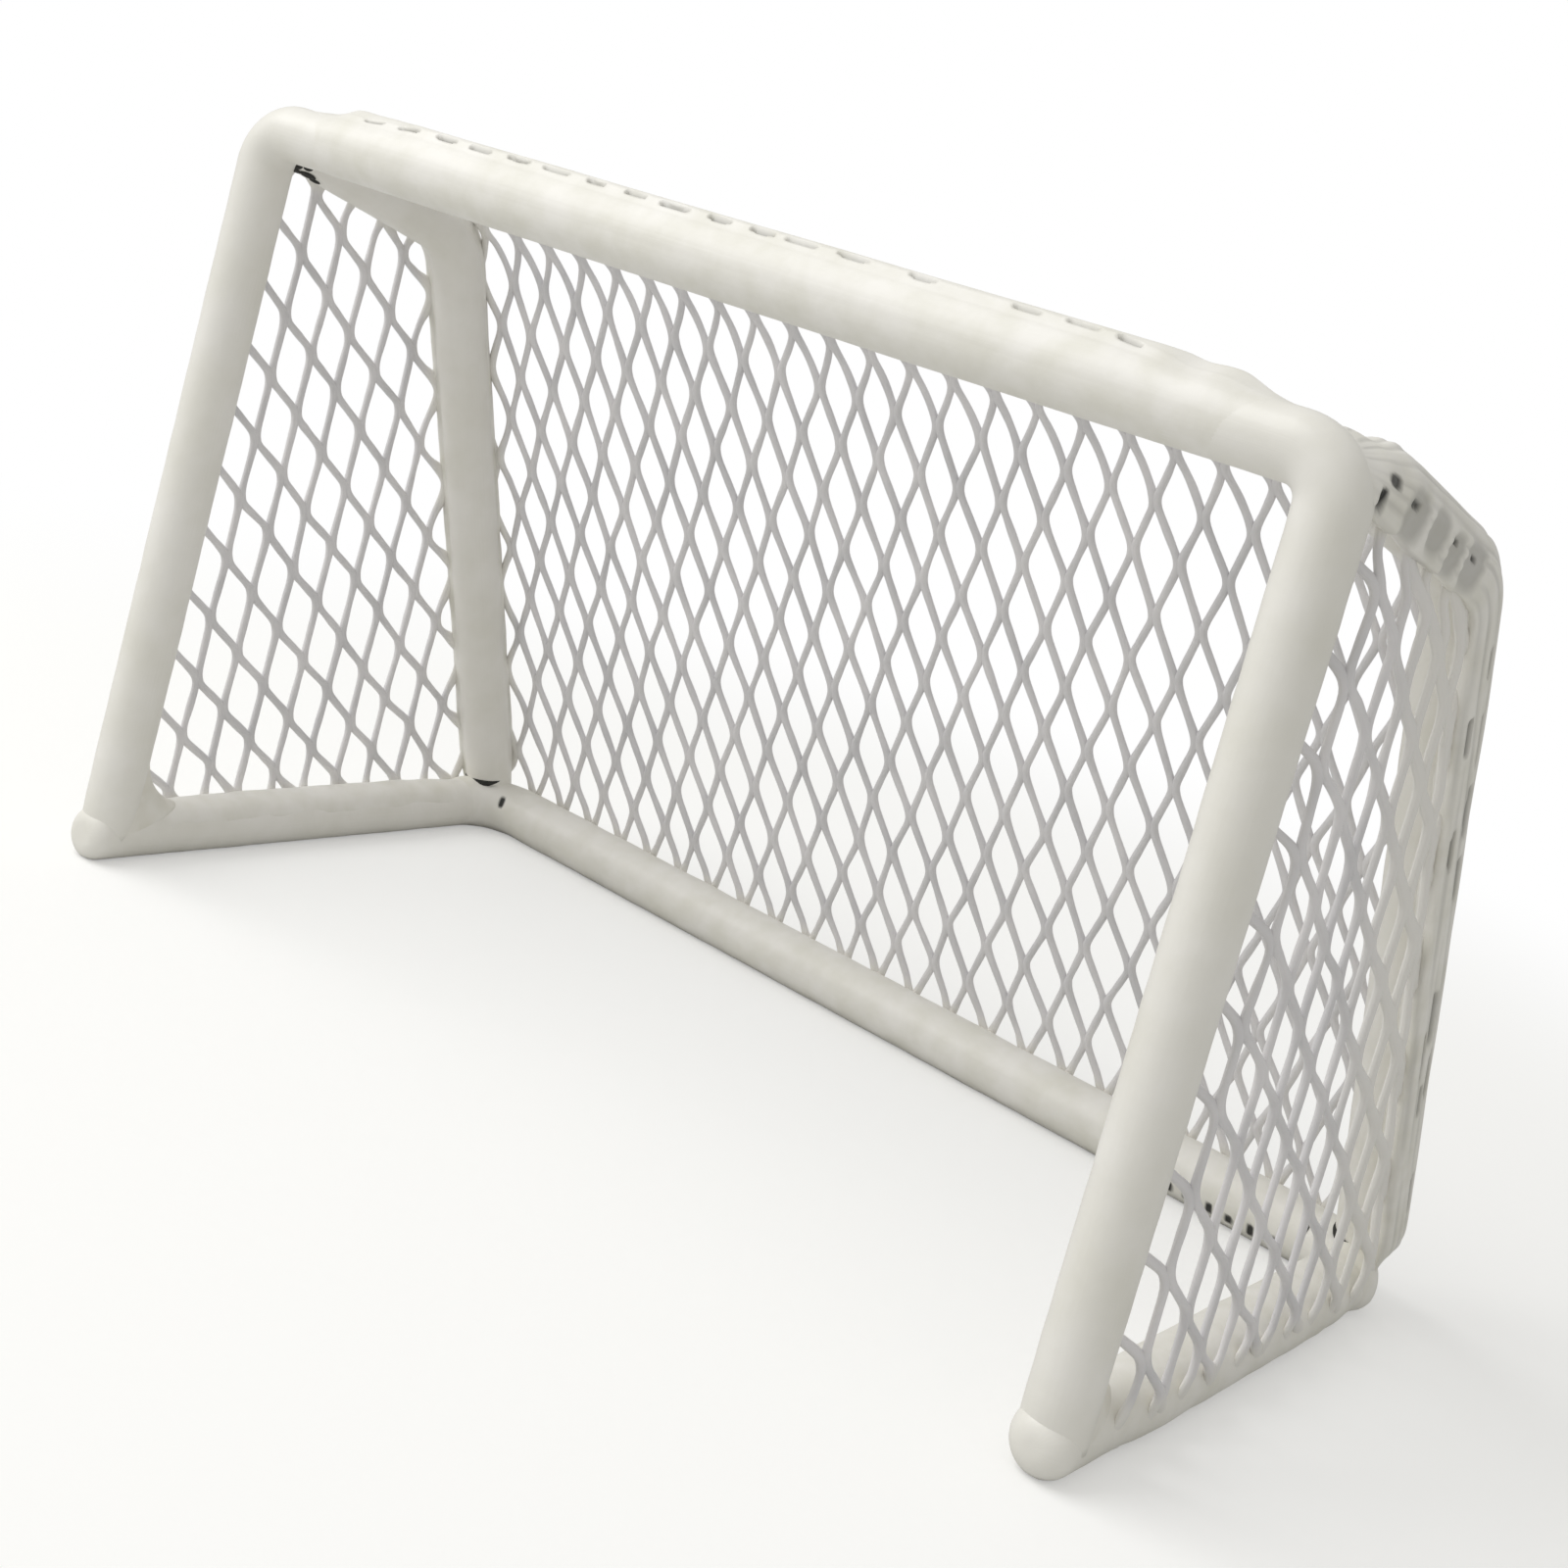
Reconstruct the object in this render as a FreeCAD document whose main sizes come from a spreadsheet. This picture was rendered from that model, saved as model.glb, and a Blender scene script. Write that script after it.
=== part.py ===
import FreeCAD, Part
import math
import os
import Sketcher

# A small ice hockey goal of bent round bar with a stiff painted diamond net.
# Frame: millimetres, +Z up, the goal mouth faces -Y, the right-hand post is at +X.
# The origin is under the middle of the goal, on the ground.

Vector = FreeCAD.Vector
doc = FreeCAD.newDocument("hockey_goal")

# Driving dimensions in millimetres. Each is written once, here.
DIMENSIONS = [
    ("mouth_wide", 152.4, "clear width between the posts"),
    ("mouth_tall", 101.6, "ground to the underside of the crossbar"),
    ("bar_dia", 7.6, "diameter of every frame bar"),
    ("base_deep", 79.0, "post axis to the axis of the rear base bar"),
    ("top_deep", 38.4, "post axis to the corner of the side bar"),
    ("rear_high", 95.6, "ground to the corner of the side bar, on its axis"),
    ("front_bend", 5.2, "axis radius of the bends beside the crossbar"),
    ("base_bend", 8.0, "axis radius of the rear bends of the base"),
    ("side_bend", 10.0, "axis radius of the bend in each side bar"),
    ("land_cut", 0.25, "depth of the flat land under the base"),
    ("nose_out", 0.3, "base bar standing out in front of the post"),
    ("nose_round", 2.6, "rounding of the front ends of the base"),
    ("seat_in", 1.0, "depth that an upright sits down over the base bar"),
    ("butt_back", 2.4, "post axis to the square end of the side bar"),
    ("seam_gap", 0.25, "gap between the side bar's end and the front frame"),
    ("pin_dia", 1.6, "diameter of the joint pins"),
    ("pin_long", 10.0, "length of the joint pins"),
    ("pin_play", 0.03, "radial clearance of a joint pin"),
    ("pin_in", 1.2, "depth of a corner pin past the post axis"),
    ("pin_low", 1.8, "ground to the lower end of a foot pin"),
    ("tie_hole", 1.2, "diameter of the small hole in each rear bend of the base"),
    ("tie_turn", 70.0, "place of the small hole round the rear bend, degrees from the side bar"),
    ("tie_rise", 30.0, "slope of the small hole, degrees above level"),
    ("net_gap", 0.1, "clearance of the net from the bars"),
    ("net_thick", 1.2, "thickness of the net"),
    ("strand", 1.15, "width of one strand of net"),
    ("knot_wide", 1.7, "width of the net where two strands run together"),
    ("net_lap", 4.0, "closed margin of the net over a bar"),
    ("back_pitch", 6.6, "mesh to mesh across the back net"),
    ("back_row", 7.75, "row to row up the back net"),
    ("back_drift", 0.5, "sideways drift of the back net in each row"),
    ("knot_long", 2.2, "length of a joint between two strands"),
    ("back_lean", 0.1, "sideways lean of a joint of the back net"),
    ("side_lean", 1.0, "rearward lean of a joint of the side nets"),
    ("least_mesh", 8.0, "smallest mesh left open at an edge, in square millimetres"),
    ("side_pitch", 6.6, "column to column of the side nets"),
    ("side_mesh", 9.1, "mesh height of the side nets"),
    ("side_drop", 5.26, "drop of the side nets' strands in each column"),
    ("hem_thick", 0.9, "thickness of the net's edge where it is turned round a bar"),
    ("hem_gap", 0.05, "clearance under the turned edge"),
    ("hem_turn", 62.0, "angle covered by the turned edge on the crossbar, degrees"),
    ("fold_start", 40.0, "start of the turned edge on the base, degrees above the net"),
    ("fold_turn", 112.0, "angle covered by the turned edge on the base, degrees"),
    ("edge_turn", 90.0, "angle covered by the turned edges of the side bars, degrees"),
    ("hem_end", 1.5, "bare bar left at the end of a turned edge"),
    ("slot_long", 3.6, "length of a gap in the turned edge"),
    ("slot_wide", 1.1, "width of a gap in the turned edge"),
    ("slot_turn", 22.0, "start of a turned edge to its row of gaps, degrees"),
    ("bead", 3.4, "radius of the filler bead behind the foot of each post"),
    ("bead_up", 1.0, "height of the bead's centre above the base bar"),
]

# Sizes that follow from the ones above.
DERIVED = [
    ("bar_r", "=bar_dia / 2"),
    ("rail_z", "=bar_dia / 2 - land_cut"),
    ("seat_z", "=bar_dia - land_cut - seat_in"),
    ("post_x", "=mouth_wide / 2 + bar_dia / 2"),
    ("bar_z", "=mouth_tall + bar_dia / 2"),
    ("back_run", "=base_deep - top_deep"),
    ("back_rise", "=rear_high - rail_z"),
    ("back_len", "=sqrt(back_run ^ 2 + back_rise ^ 2)"),
    ("back_cos", "=back_rise / back_len"),
    ("back_sin", "=back_run / back_len"),
    ("roof_drop", "=bar_z - rear_high"),
    ("roof_len", "=sqrt(top_deep ^ 2 + roof_drop ^ 2)"),
    ("roof_cos", "=top_deep / roof_len"),
    ("roof_sin", "=roof_drop / roof_len"),
    ("net_in", "=bar_dia / 2 + net_gap"),
    ("goal_y", "=-(base_deep + (net_in + net_thick) * back_cos - bar_dia / 2 - nose_out) / 2"),
    ("nose_y", "=goal_y - bar_dia / 2 - nose_out"),
    ("base_y", "=goal_y + base_deep"),
    ("top_y", "=goal_y + top_deep"),
    ("far", "=mouth_wide + base_deep + mouth_tall"),
]

sheet = doc.addObject("Spreadsheet::Sheet", "Sizes")
sheet.Label = "Sizes"
row = 1
for name, value, note in DIMENSIONS:
    sheet.set("A%d" % row, name)
    sheet.set("B%d" % row, str(value))
    sheet.set("C%d" % row, note)
    sheet.setAlias("B%d" % row, name)
    row += 1
doc.recompute()
for name, formula in DERIVED:
    sheet.set("A%d" % row, name)
    sheet.set("B%d" % row, formula)
    sheet.setAlias("B%d" % row, name)
    doc.recompute()
    row += 1


def size(name):
    """The value of one cell of the sheet, as a plain number."""
    return float(getattr(sheet, name))


def bind(thing, path, formula):
    """Tie a property to the sheet: names in the formula are written as S.name."""
    thing.setExpression(path, formula.replace("S.", "Sizes."))


def origin_plane(body, role):
    """One of a body's own three origin planes, found by its role."""
    return [f for f in body.Origin.OriginFeatures if f.Role == role][0]


def new_sketch(body, name, role, offset=""):
    """A sketch on an origin plane of its body, moved along the plane's normal."""
    sketch = body.newObject("Sketcher::SketchObject", name)
    sketch.AttachmentSupport = (origin_plane(body, role), [""])
    sketch.MapMode = "FlatFace"
    if offset:
        bind(sketch, ".AttachmentOffset.Base.z", offset)
    return sketch


def arc_at(before, corner, after, radius):
    """Start, middle and end of the arc that rounds a corner."""
    a = before - corner
    b = after - corner
    a.normalize()
    b.normalize()
    half = a.getAngle(b) / 2
    middle = a + b
    middle.normalize()
    centre = corner + middle * (radius / math.sin(half))
    run = radius / math.tan(half)
    return corner + a * run, centre - middle * radius, corner + b * run


def upright_arc(start, end, middle, radius):
    """An anticlockwise arc of less than half a turn, as a sketch stores it."""
    chord = (start + end) * 0.5
    out = middle - chord
    out.normalize()
    centre = middle - out * radius
    first = math.atan2(start.y - centre.y, start.x - centre.x)
    last = math.atan2(end.y - centre.y, end.x - centre.x)
    if last < first:
        last += 2 * math.pi
    return Part.ArcOfCircle(Part.Circle(centre, Vector(0, 0, 1), radius), first, last)


def hold_point(sketch, geometry, end, x_formula, y_formula, point):
    """Hold one point of a sketch at two formulas of the sheet."""
    index = sketch.addConstraint(Sketcher.Constraint("DistanceX", -1, 1, geometry, end, point.x))
    bind(sketch, "Constraints[%d]" % index, x_formula)
    index = sketch.addConstraint(Sketcher.Constraint("DistanceY", -1, 1, geometry, end, point.y))
    bind(sketch, "Constraints[%d]" % index, y_formula)


def draw_path(sketch, stations, radius_name):
    """Straight runs joined by tangent arcs. A station is (x formula, y formula, x, y)."""
    points = [Vector(x, y, 0) for _, _, x, y in stations]
    last = len(points) - 1
    start = points[0]
    line = None
    arc = None
    for k in range(1, last + 1):
        if k < last:
            arc_start, arc_middle, arc_end = arc_at(points[k - 1], points[k], points[k + 1],
                                                    size(radius_name))
        else:
            arc_start = points[last]
        line = sketch.addGeometry(Part.LineSegment(start, arc_start), False)
        if k == 1:
            hold_point(sketch, line, 1, stations[0][0], stations[0][1], points[0])
        else:
            corner = sketch.addGeometry(Part.Point(points[k - 1]), True)
            for bar in (line_before, line):
                sketch.addConstraint(Sketcher.Constraint("PointOnObject", corner, 1, bar))
            hold_point(sketch, corner, 1, stations[k - 1][0], stations[k - 1][1], points[k - 1])
            sketch.addConstraint(Sketcher.Constraint("Tangent", line, 1, arc, 3 - near))
        if k < last:
            turns_left = (points[k] - points[k - 1]).cross(points[k + 1] - points[k]).z > 0
            near = 1 if turns_left else 2
            ends = (arc_start, arc_end) if turns_left else (arc_end, arc_start)
            arc = sketch.addGeometry(upright_arc(ends[0], ends[1], arc_middle, size(radius_name)), False)
            sketch.addConstraint(Sketcher.Constraint("Tangent", line, 2, arc, near))
            index = sketch.addConstraint(Sketcher.Constraint("Radius", arc, size(radius_name)))
            bind(sketch, "Constraints[%d]" % index, "S." + radius_name)
            line_before = line
            start = arc_end
    hold_point(sketch, line, 2, stations[last][0], stations[last][1], points[last])


def circle_sketch(body, name, role, offset, x_formula, y_formula, x, y, radius_formula, radius):
    """A sketch that holds one circle."""
    sketch = new_sketch(body, name, role, offset)
    sketch.addGeometry(Part.Circle(Vector(x, y, 0), Vector(0, 0, 1), radius), False)
    hold_point(sketch, 0, 3, x_formula, y_formula, Vector(x, y, 0))
    index = sketch.addConstraint(Sketcher.Constraint("Radius", 0, radius))
    bind(sketch, "Constraints[%d]" % index, radius_formula)
    return sketch


def pipe(body, path, profile):
    """A bar: a round section carried along a path."""
    bar = body.newObject("PartDesign::AdditivePipe", "Bar")
    bar.Profile = profile
    bar.Spine = (path, [])
    body.Tip = bar
    return bar


def cut_chain(label, base, tools):
    """Cut a solid by one tool after another. The last cut carries the label."""
    result = base
    for tool in tools:
        cut = doc.addObject("Part::Cut", label + "_cut")
        cut.Base = result
        cut.Tool = tool
        result = cut
    result.Label = label
    return result


NODES = []


def keep(thing, label):
    """Give a finished sub-part its name and list it for writing."""
    thing.Label = label
    NODES.append(thing)
    return thing


SIDES = (("left", -1), ("right", 1))


# Front frame

def front_bar(label, grow):
    """The crossbar and both posts as one bent bar, made fatter by a formula."""
    body = doc.addObject("PartDesign::Body", label)
    path = new_sketch(body, "Path", "XZ_Plane", "-S.goal_y")
    x, low, high = size("post_x"), size("rail_z"), size("bar_z")
    draw_path(path, [("-S.post_x", "S.rail_z", -x, low), ("-S.post_x", "S.bar_z", -x, high),
                     ("S.post_x", "S.bar_z", x, high), ("S.post_x", "S.rail_z", x, low)], "front_bend")
    section = circle_sketch(body, "Section", "XY_Plane", "S.rail_z", "-S.post_x", "S.goal_y",
                            -x, size("goal_y"), "S.bar_r" + grow, size("bar_r"))
    pipe(body, path, section)
    return body


# Base frame

def base_bar(label, grow):
    """The base: side bars and rear bar as one bent bar with rounded front ends."""
    body = doc.addObject("PartDesign::Body", label)
    path = new_sketch(body, "Path", "XY_Plane", "S.rail_z")
    x, front, back = size("post_x"), size("nose_y"), size("base_y")
    draw_path(path, [("-S.post_x", "S.nose_y", -x, front), ("-S.post_x", "S.base_y", -x, back),
                     ("S.post_x", "S.base_y", x, back), ("S.post_x", "S.nose_y", x, front)], "base_bend")
    section = circle_sketch(body, "Section", "XZ_Plane", "-S.nose_y", "-S.post_x", "S.rail_z",
                            -x, size("rail_z"), "S.bar_r" + grow, size("bar_r"))
    bar = pipe(body, path, section)
    doc.recompute()
    ends = ["Edge%d" % (i + 1) for i, edge in enumerate(bar.Shape.Edges)
            if edge.BoundBox.YLength < 0.01 and abs(edge.CenterOfMass.y - front) < 0.01]
    rounding = body.newObject("PartDesign::Fillet", "Noses")
    rounding.Base = (bar, ends)
    bind(rounding, "Radius", "S.nose_round")
    body.Tip = rounding
    return body


# The bars before they are cut to each other

front = front_bar("front_bar", "")
front_wide = front_bar("front_bar_with_gap", " + S.seam_gap")
base = base_bar("base_bar", "")
base_wide = base_bar("base_bar_with_gap", " + S.seam_gap")


def side_bar(side, sign):
    """A rear upright that bends forward into a top rail."""
    body = doc.addObject("PartDesign::Body", side + "_side_bar")
    place = "S.post_x" if sign > 0 else "-S.post_x"
    path = new_sketch(body, "Path", "YZ_Plane", place)
    draw_path(path, [("S.base_y", "S.rail_z", size("base_y"), size("rail_z")),
                     ("S.top_y", "S.rear_high", size("top_y"), size("rear_high")),
                     ("S.goal_y", "S.bar_z", size("goal_y"), size("bar_z"))], "side_bend")
    section = new_sketch(body, "Section", "XY_Plane", "S.rail_z")
    section.AttachmentOffset = FreeCAD.Placement(
        Vector(sign * size("post_x"), size("base_y"), size("rail_z")),
        FreeCAD.Rotation(Vector(1, 0, 0), math.degrees(math.asin(size("back_sin")))))
    bind(section, ".AttachmentOffset.Base.x", place)
    bind(section, ".AttachmentOffset.Base.y", "S.base_y")
    bind(section, ".AttachmentOffset.Base.z", "S.rail_z")
    bind(section, ".AttachmentOffset.Rotation.Angle", "atan(S.back_run / S.back_rise)")
    section.addGeometry(Part.Circle(Vector(0, 0, 0), Vector(0, 0, 1), size("bar_r")), False)
    section.addConstraint(Sketcher.Constraint("Coincident", 0, 3, -1, 1))
    index = section.addConstraint(Sketcher.Constraint("Radius", 0, size("bar_r")))
    bind(section, "Constraints[%d]" % index, "S.bar_r")
    pipe(body, path, section)
    return body


def block(label, low, high):
    """A box used as a cutter, between two corners given as formulas."""
    box = doc.addObject("Part::Box", label)
    for axis, edge, a, b in zip("xyz", ("Length", "Width", "Height"), low, high):
        bind(box, "Placement.Base." + axis, a)
        bind(box, edge, "(%s) - (%s)" % (b, a))
    return box


# The space that the base fills below each upright, and the space in front of each side bar.
below = block("below_seat", ("-S.far", "-S.far", "-S.far"), ("S.far", "S.far", "S.seat_z"))
ahead = block("ahead_of_side_bars", ("-S.far", "-S.far", "0"),
              ("S.far", "S.goal_y + S.butt_back", "S.far"))
ground = block("ground", ("-S.far", "-S.far", "-S.far"), ("S.far", "S.far", "0"))


# Joint pins and the holes that hold them

def pin(label, radius_formula, grow, start, direction):
    """A round pin from a start point along a direction, longer by grow at each end."""
    rod = doc.addObject("Part::Cylinder", label)
    bind(rod, "Radius", radius_formula)
    bind(rod, "Height", "S.pin_long + 2 * (%s)" % grow)
    rod.Placement = FreeCAD.Placement(start, FreeCAD.Rotation(Vector(0, 0, 1), direction))
    return rod


def pin_seats(side, sign):
    """Start point and direction of the foot, rear and corner pin of one side."""
    x = sign * size("post_x")
    foot = (Vector(x, size("goal_y"), size("pin_low")), Vector(0, 0, 1))
    lean = Vector(0, -size("back_sin"), size("back_cos"))
    rear = (Vector(x, size("base_y"), size("rail_z")) + lean * (size("pin_low") - size("rail_z")), lean)
    slope = Vector(0, size("roof_cos"), -size("roof_sin"))
    corner = (Vector(x, size("goal_y"), size("bar_z")) - slope * size("pin_in"), slope)
    return {"foot": foot, "rear": rear, "corner": corner}


pins = {"foot": [], "rear": [], "corner": []}
pin_holes = {"foot": [], "rear": [], "corner": []}
for side, sign in SIDES:
    for kind, (start, direction) in pin_seats(side, sign).items():
        pins[kind].append(pin("%s_%s_pin" % (side, kind), "S.pin_dia / 2", "0", start, direction))
        pin_holes[kind].append(pin("%s_%s_hole" % (side, kind), "S.pin_dia / 2 + S.pin_play", "S.pin_play",
                                   start - direction * size("pin_play"), direction))

# Small hole drilled into the inner side of each rear bend, sloping up towards the mouth.
tie_holes = []
for side, sign in SIDES:
    turn = math.radians(size("tie_turn"))
    rise = math.radians(size("tie_rise"))
    radial = Vector(sign * math.cos(turn), math.sin(turn), 0)
    bend_x = sign * (size("post_x") - size("base_bend"))
    bend_centre = Vector(bend_x, size("base_y") - size("base_bend"), size("rail_z"))
    drill = radial * -math.cos(rise) + Vector(0, 0, math.sin(rise))
    hole = doc.addObject("Part::Cylinder", side + "_tie_hole")
    bind(hole, "Radius", "S.tie_hole / 2")
    bind(hole, "Height", "S.bar_dia")
    hole.Placement = FreeCAD.Placement(bend_centre + radial * size("base_bend"),
                                       FreeCAD.Rotation(Vector(0, 0, 1), drill))
    tie_holes.append(hole)

keep(cut_chain("front_frame", front, [below, base] + pin_holes["foot"] + pin_holes["corner"]), "front_frame")
keep(cut_chain("base_frame", base, [ground] + pin_holes["foot"] + pin_holes["rear"] + tie_holes),
     "base_frame")
for k, (side, sign) in enumerate(SIDES):
    name = side + "_side_rod"
    bar = side_bar(side, sign)
    keep(cut_chain(name, bar, [below, base, front_wide, ahead, pin_holes["rear"][k], pin_holes["corner"][k]]),
         name)
for kind in pins:
    group = doc.addObject("Part::Compound", kind + "_pins")
    group.Links = pins[kind]
    keep(group, kind + "_pins")


# Net

def clip(polygon, point, inward):
    """The part of a convex polygon that lies on the inward side of a line."""
    result = []
    count = len(polygon)
    for k in range(count):
        a, b = polygon[k], polygon[(k + 1) % count]
        da = (a - point).dot(inward)
        db = (b - point).dot(inward)
        if da >= 0:
            result.append(a)
        if (da >= 0) != (db >= 0):
            result.append(a + (b - a) * (da / (da - db)))
    return result


def inset(polygon, distances):
    """A convex polygon, anticlockwise, with each side moved in by its own distance."""
    result = list(polygon)
    count = len(polygon)
    for k in range(count):
        a, b = polygon[k], polygon[(k + 1) % count]
        along = b - a
        if along.Length < 1e-9:
            continue
        along.normalize()
        inward = Vector(-along.y, along.x, 0)
        result = clip(result, a + inward * distances[k], inward)
        if len(result) < 3:
            return []
    return result


def area(polygon):
    """Area of a flat polygon, positive when it runs anticlockwise."""
    total = 0.0
    for a, b in zip(polygon, polygon[1:] + polygon[:1]):
        total += a.x * b.y - b.x * a.y
    return total / 2


def meshes(window, down_right, down_left, knot):
    """The open meshes of a net inside a convex window.

    A joint where two strands run together starts at every point of a lattice and is as long as
    the vector knot. From its lower end one strand goes to the next joint down_right and one
    to the next joint down_left. Each mesh is the six-sided space between them, less half the
    width of the strands round it.
    """
    thin, thick = size("strand") / 2, size("knot_wide") / 2
    low = Vector(min(p.x for p in window), min(p.y for p in window), 0)
    high = Vector(max(p.x for p in window), max(p.y for p in window), 0)
    middle = (low + high) * 0.5
    reach = int((high - low).Length / min(down_right.Length, down_left.Length)) + 2
    found = []
    for i in range(-reach, reach + 1):
        for k in range(-reach, reach + 1):
            top = middle + down_right * i + down_left * k
            corners = [top + knot, top + down_left, top + down_left + knot,
                       top + down_left + down_right, top + down_right + knot, top + down_right]
            widths = [thin, thick, thin, thin, thick, thin]
            hole = inset(corners, widths)
            for a, b in zip(window, window[1:] + window[:1]):
                if len(hole) < 3:
                    break
                along = b - a
                along.normalize()
                hole = clip(hole, a, Vector(-along.y, along.x, 0))
            if len(hole) >= 3 and area(hole) > size("least_mesh"):
                found.append(tidy(hole))
    return found


SAME_POINT = 0.02


def tidy(polygon):
    """A polygon without points that fall on their neighbours."""
    result = []
    for point in polygon:
        if not result or (point - result[-1]).Length > SAME_POINT:
            result.append(point)
    if (result[0] - result[-1]).Length <= SAME_POINT:
        result.pop()
    return result


def wire(polygon):
    """A closed wire through the points of a polygon."""
    return Part.makePolygon(polygon + [polygon[0]])


def flat_net(label, outline, window, down_right, down_left, knot, place):
    """A flat net: one face with a hole for each mesh, as thick as the net, put in its place."""
    holes = meshes(window, down_right, down_left, knot)
    face = Part.Face([outline] + [wire(hole[::-1]) for hole in holes])
    solid = face.extrude(Vector(0, 0, size("net_thick")))
    net = doc.addObject("Part::Feature", label)
    net.Shape = solid
    net.Placement = place
    print("%s: %d gaps, volume %.1f" % (label, len(holes), solid.Volume))
    return keep(net, label)


def axes_place(base, across, up, out):
    """A placement whose local X, Y and Z run along three given directions."""
    return FreeCAD.Placement(base, FreeCAD.Rotation(across, up, out, "ZXY"))


def rectangle(left, right, low, high):
    """Four corners, anticlockwise."""
    return [Vector(left, low, 0), Vector(right, low, 0), Vector(right, high, 0), Vector(left, high, 0)]


BAR_R = size("bar_r")
POST_X = size("post_x")
NET_IN = size("net_in")
LAP = size("net_lap")
GOAL_Y, BASE_Y, TOP_Y = size("goal_y"), size("base_y"), size("top_y")
RAIL_Z, REAR_Z, BAR_Z = size("rail_z"), size("rear_high"), size("bar_z")
BACK_UP = Vector(0, -size("back_sin"), size("back_cos"))
BACK_OUT = Vector(0, size("back_cos"), size("back_sin"))
ROOF_UP = Vector(0, -size("roof_cos"), size("roof_sin"))
ROOF_OUT = Vector(0, size("roof_sin"), size("roof_cos"))
ACROSS = Vector(1, 0, 0)
SHOULDER = BACK_OUT.getAngle(ROOF_OUT)
SETBACK = size("side_bend") * math.tan(SHOULDER / 2)
BACK_TOP = size("back_len") - SETBACK
ROOF_TOP = size("roof_len")
EDGE = size("strand")

# Mesh lattice of the back and the roof, seen from behind, with Y up the net. The rows drift
# to the left as they go down.
half, row_up, drift = size("back_pitch") / 2, size("back_row"), size("back_drift")
BACK_MESH = (Vector(half - drift, -row_up, 0), Vector(-half - drift, -row_up, 0),
             Vector(-size("back_lean"), -size("knot_long"), 0))

# Back net, from the rear base bar up to the shoulder
flat_net("back_net", wire(rectangle(-POST_X, POST_X, 0, BACK_TOP)),
         rectangle(-POST_X + LAP, POST_X - LAP, LAP, BACK_TOP - EDGE), *BACK_MESH,
         axes_place(Vector(0, BASE_Y, RAIL_Z) + BACK_OUT * NET_IN, -ACROSS, BACK_UP, BACK_OUT))

# Roof net, from the shoulder forward to the crossbar
flat_net("roof_net", wire(rectangle(-POST_X, POST_X, SETBACK, ROOF_TOP)),
         rectangle(-POST_X + LAP, POST_X - LAP, SETBACK + EDGE, ROOF_TOP - LAP), *BACK_MESH,
         axes_place(Vector(0, TOP_Y, REAR_Z) + ROOF_OUT * NET_IN, -ACROSS, ROOF_UP, ROOF_OUT))


def side_outline():
    """Outline of a side net along the axes of the bars, with the side bar's bend as an arc."""
    low_front = Vector(GOAL_Y, RAIL_Z, 0)
    low_rear = Vector(BASE_Y, RAIL_Z, 0)
    high_rear = Vector(TOP_Y, REAR_Z, 0)
    high_front = Vector(GOAL_Y, BAR_Z, 0)
    start, middle, end = arc_at(low_rear, high_rear, high_front, size("side_bend"))
    edges = [Part.makeLine(low_front, low_rear), Part.makeLine(low_rear, start),
             Part.Arc(start, middle, end).toShape(), Part.makeLine(end, high_front),
             Part.makeLine(high_front, low_front)]
    window = inset([low_front, low_rear, start, end, high_front], [LAP] * 5)
    return Part.Wire(edges), window


# Side nets, outside the bars. Both are drawn in depth and height.
side_wire, side_window = side_outline()
SIDE_MESH = (Vector(size("side_pitch"), -size("side_drop"), 0), Vector(0, -size("side_mesh"), 0),
             Vector(size("side_lean"), -size("knot_long"), 0))
for side, sign in SIDES:
    place_x = sign * (POST_X + NET_IN) + min(sign, 0) * size("net_thick")
    flat_net(side + "_side_net", side_wire, side_window, *SIDE_MESH,
             axes_place(Vector(place_x, 0, 0), Vector(0, 1, 0), Vector(0, 0, 1), ACROSS))


# Curved strip of net over the bends of the side bars

def shoulder_net():
    """A sector of a thin tube round the bends, with a row of meshes cut through it."""
    middle_out = BACK_OUT + ROOF_OUT
    middle_out.normalize()
    centre = Vector(0, TOP_Y, REAR_Z) - middle_out * (size("side_bend") / math.cos(SHOULDER / 2))
    inner = size("side_bend") + NET_IN
    outer = inner + size("net_thick")
    strip = Part.makeCylinder(outer, 2 * POST_X, Vector(), Vector(0, 0, 1), math.degrees(SHOULDER))
    strip = strip.cut(Part.makeCylinder(inner, 2 * POST_X))
    arc_long = outer * SHOULDER
    window = rectangle(LAP, 2 * POST_X - LAP, EDGE, arc_long - EDGE)
    cutters = []
    for hole in meshes(window, *BACK_MESH):
        low = min(point.y for point in hole)
        high = max(point.y for point in hole)
        angle = math.degrees((low + high) / 2 / outer)
        flat = [Vector(inner - EDGE, point.y - (low + high) / 2, point.x) for point in hole]
        prism = Part.Face(wire(flat)).extrude(Vector(size("net_thick") + 2 * EDGE, 0, 0))
        prism.rotate(Vector(), Vector(0, 0, 1), angle)
        cutters.append(prism)
    strip = strip.cut(Part.makeCompound(cutters))
    net = doc.addObject("Part::Feature", "shoulder_net")
    net.Shape = strip.Solids[0]
    net.Placement = axes_place(centre - ACROSS * POST_X, BACK_OUT, ACROSS.cross(BACK_OUT), ACROSS)
    print("shoulder_net: %d gaps in %d solid, volume %.1f" % (len(cutters), len(strip.Solids), strip.Volume))
    return keep(net, "shoulder_net")


shoulder_net()


# Turned edges of the net: thin part sleeves round the bars, with a row of gaps

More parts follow.
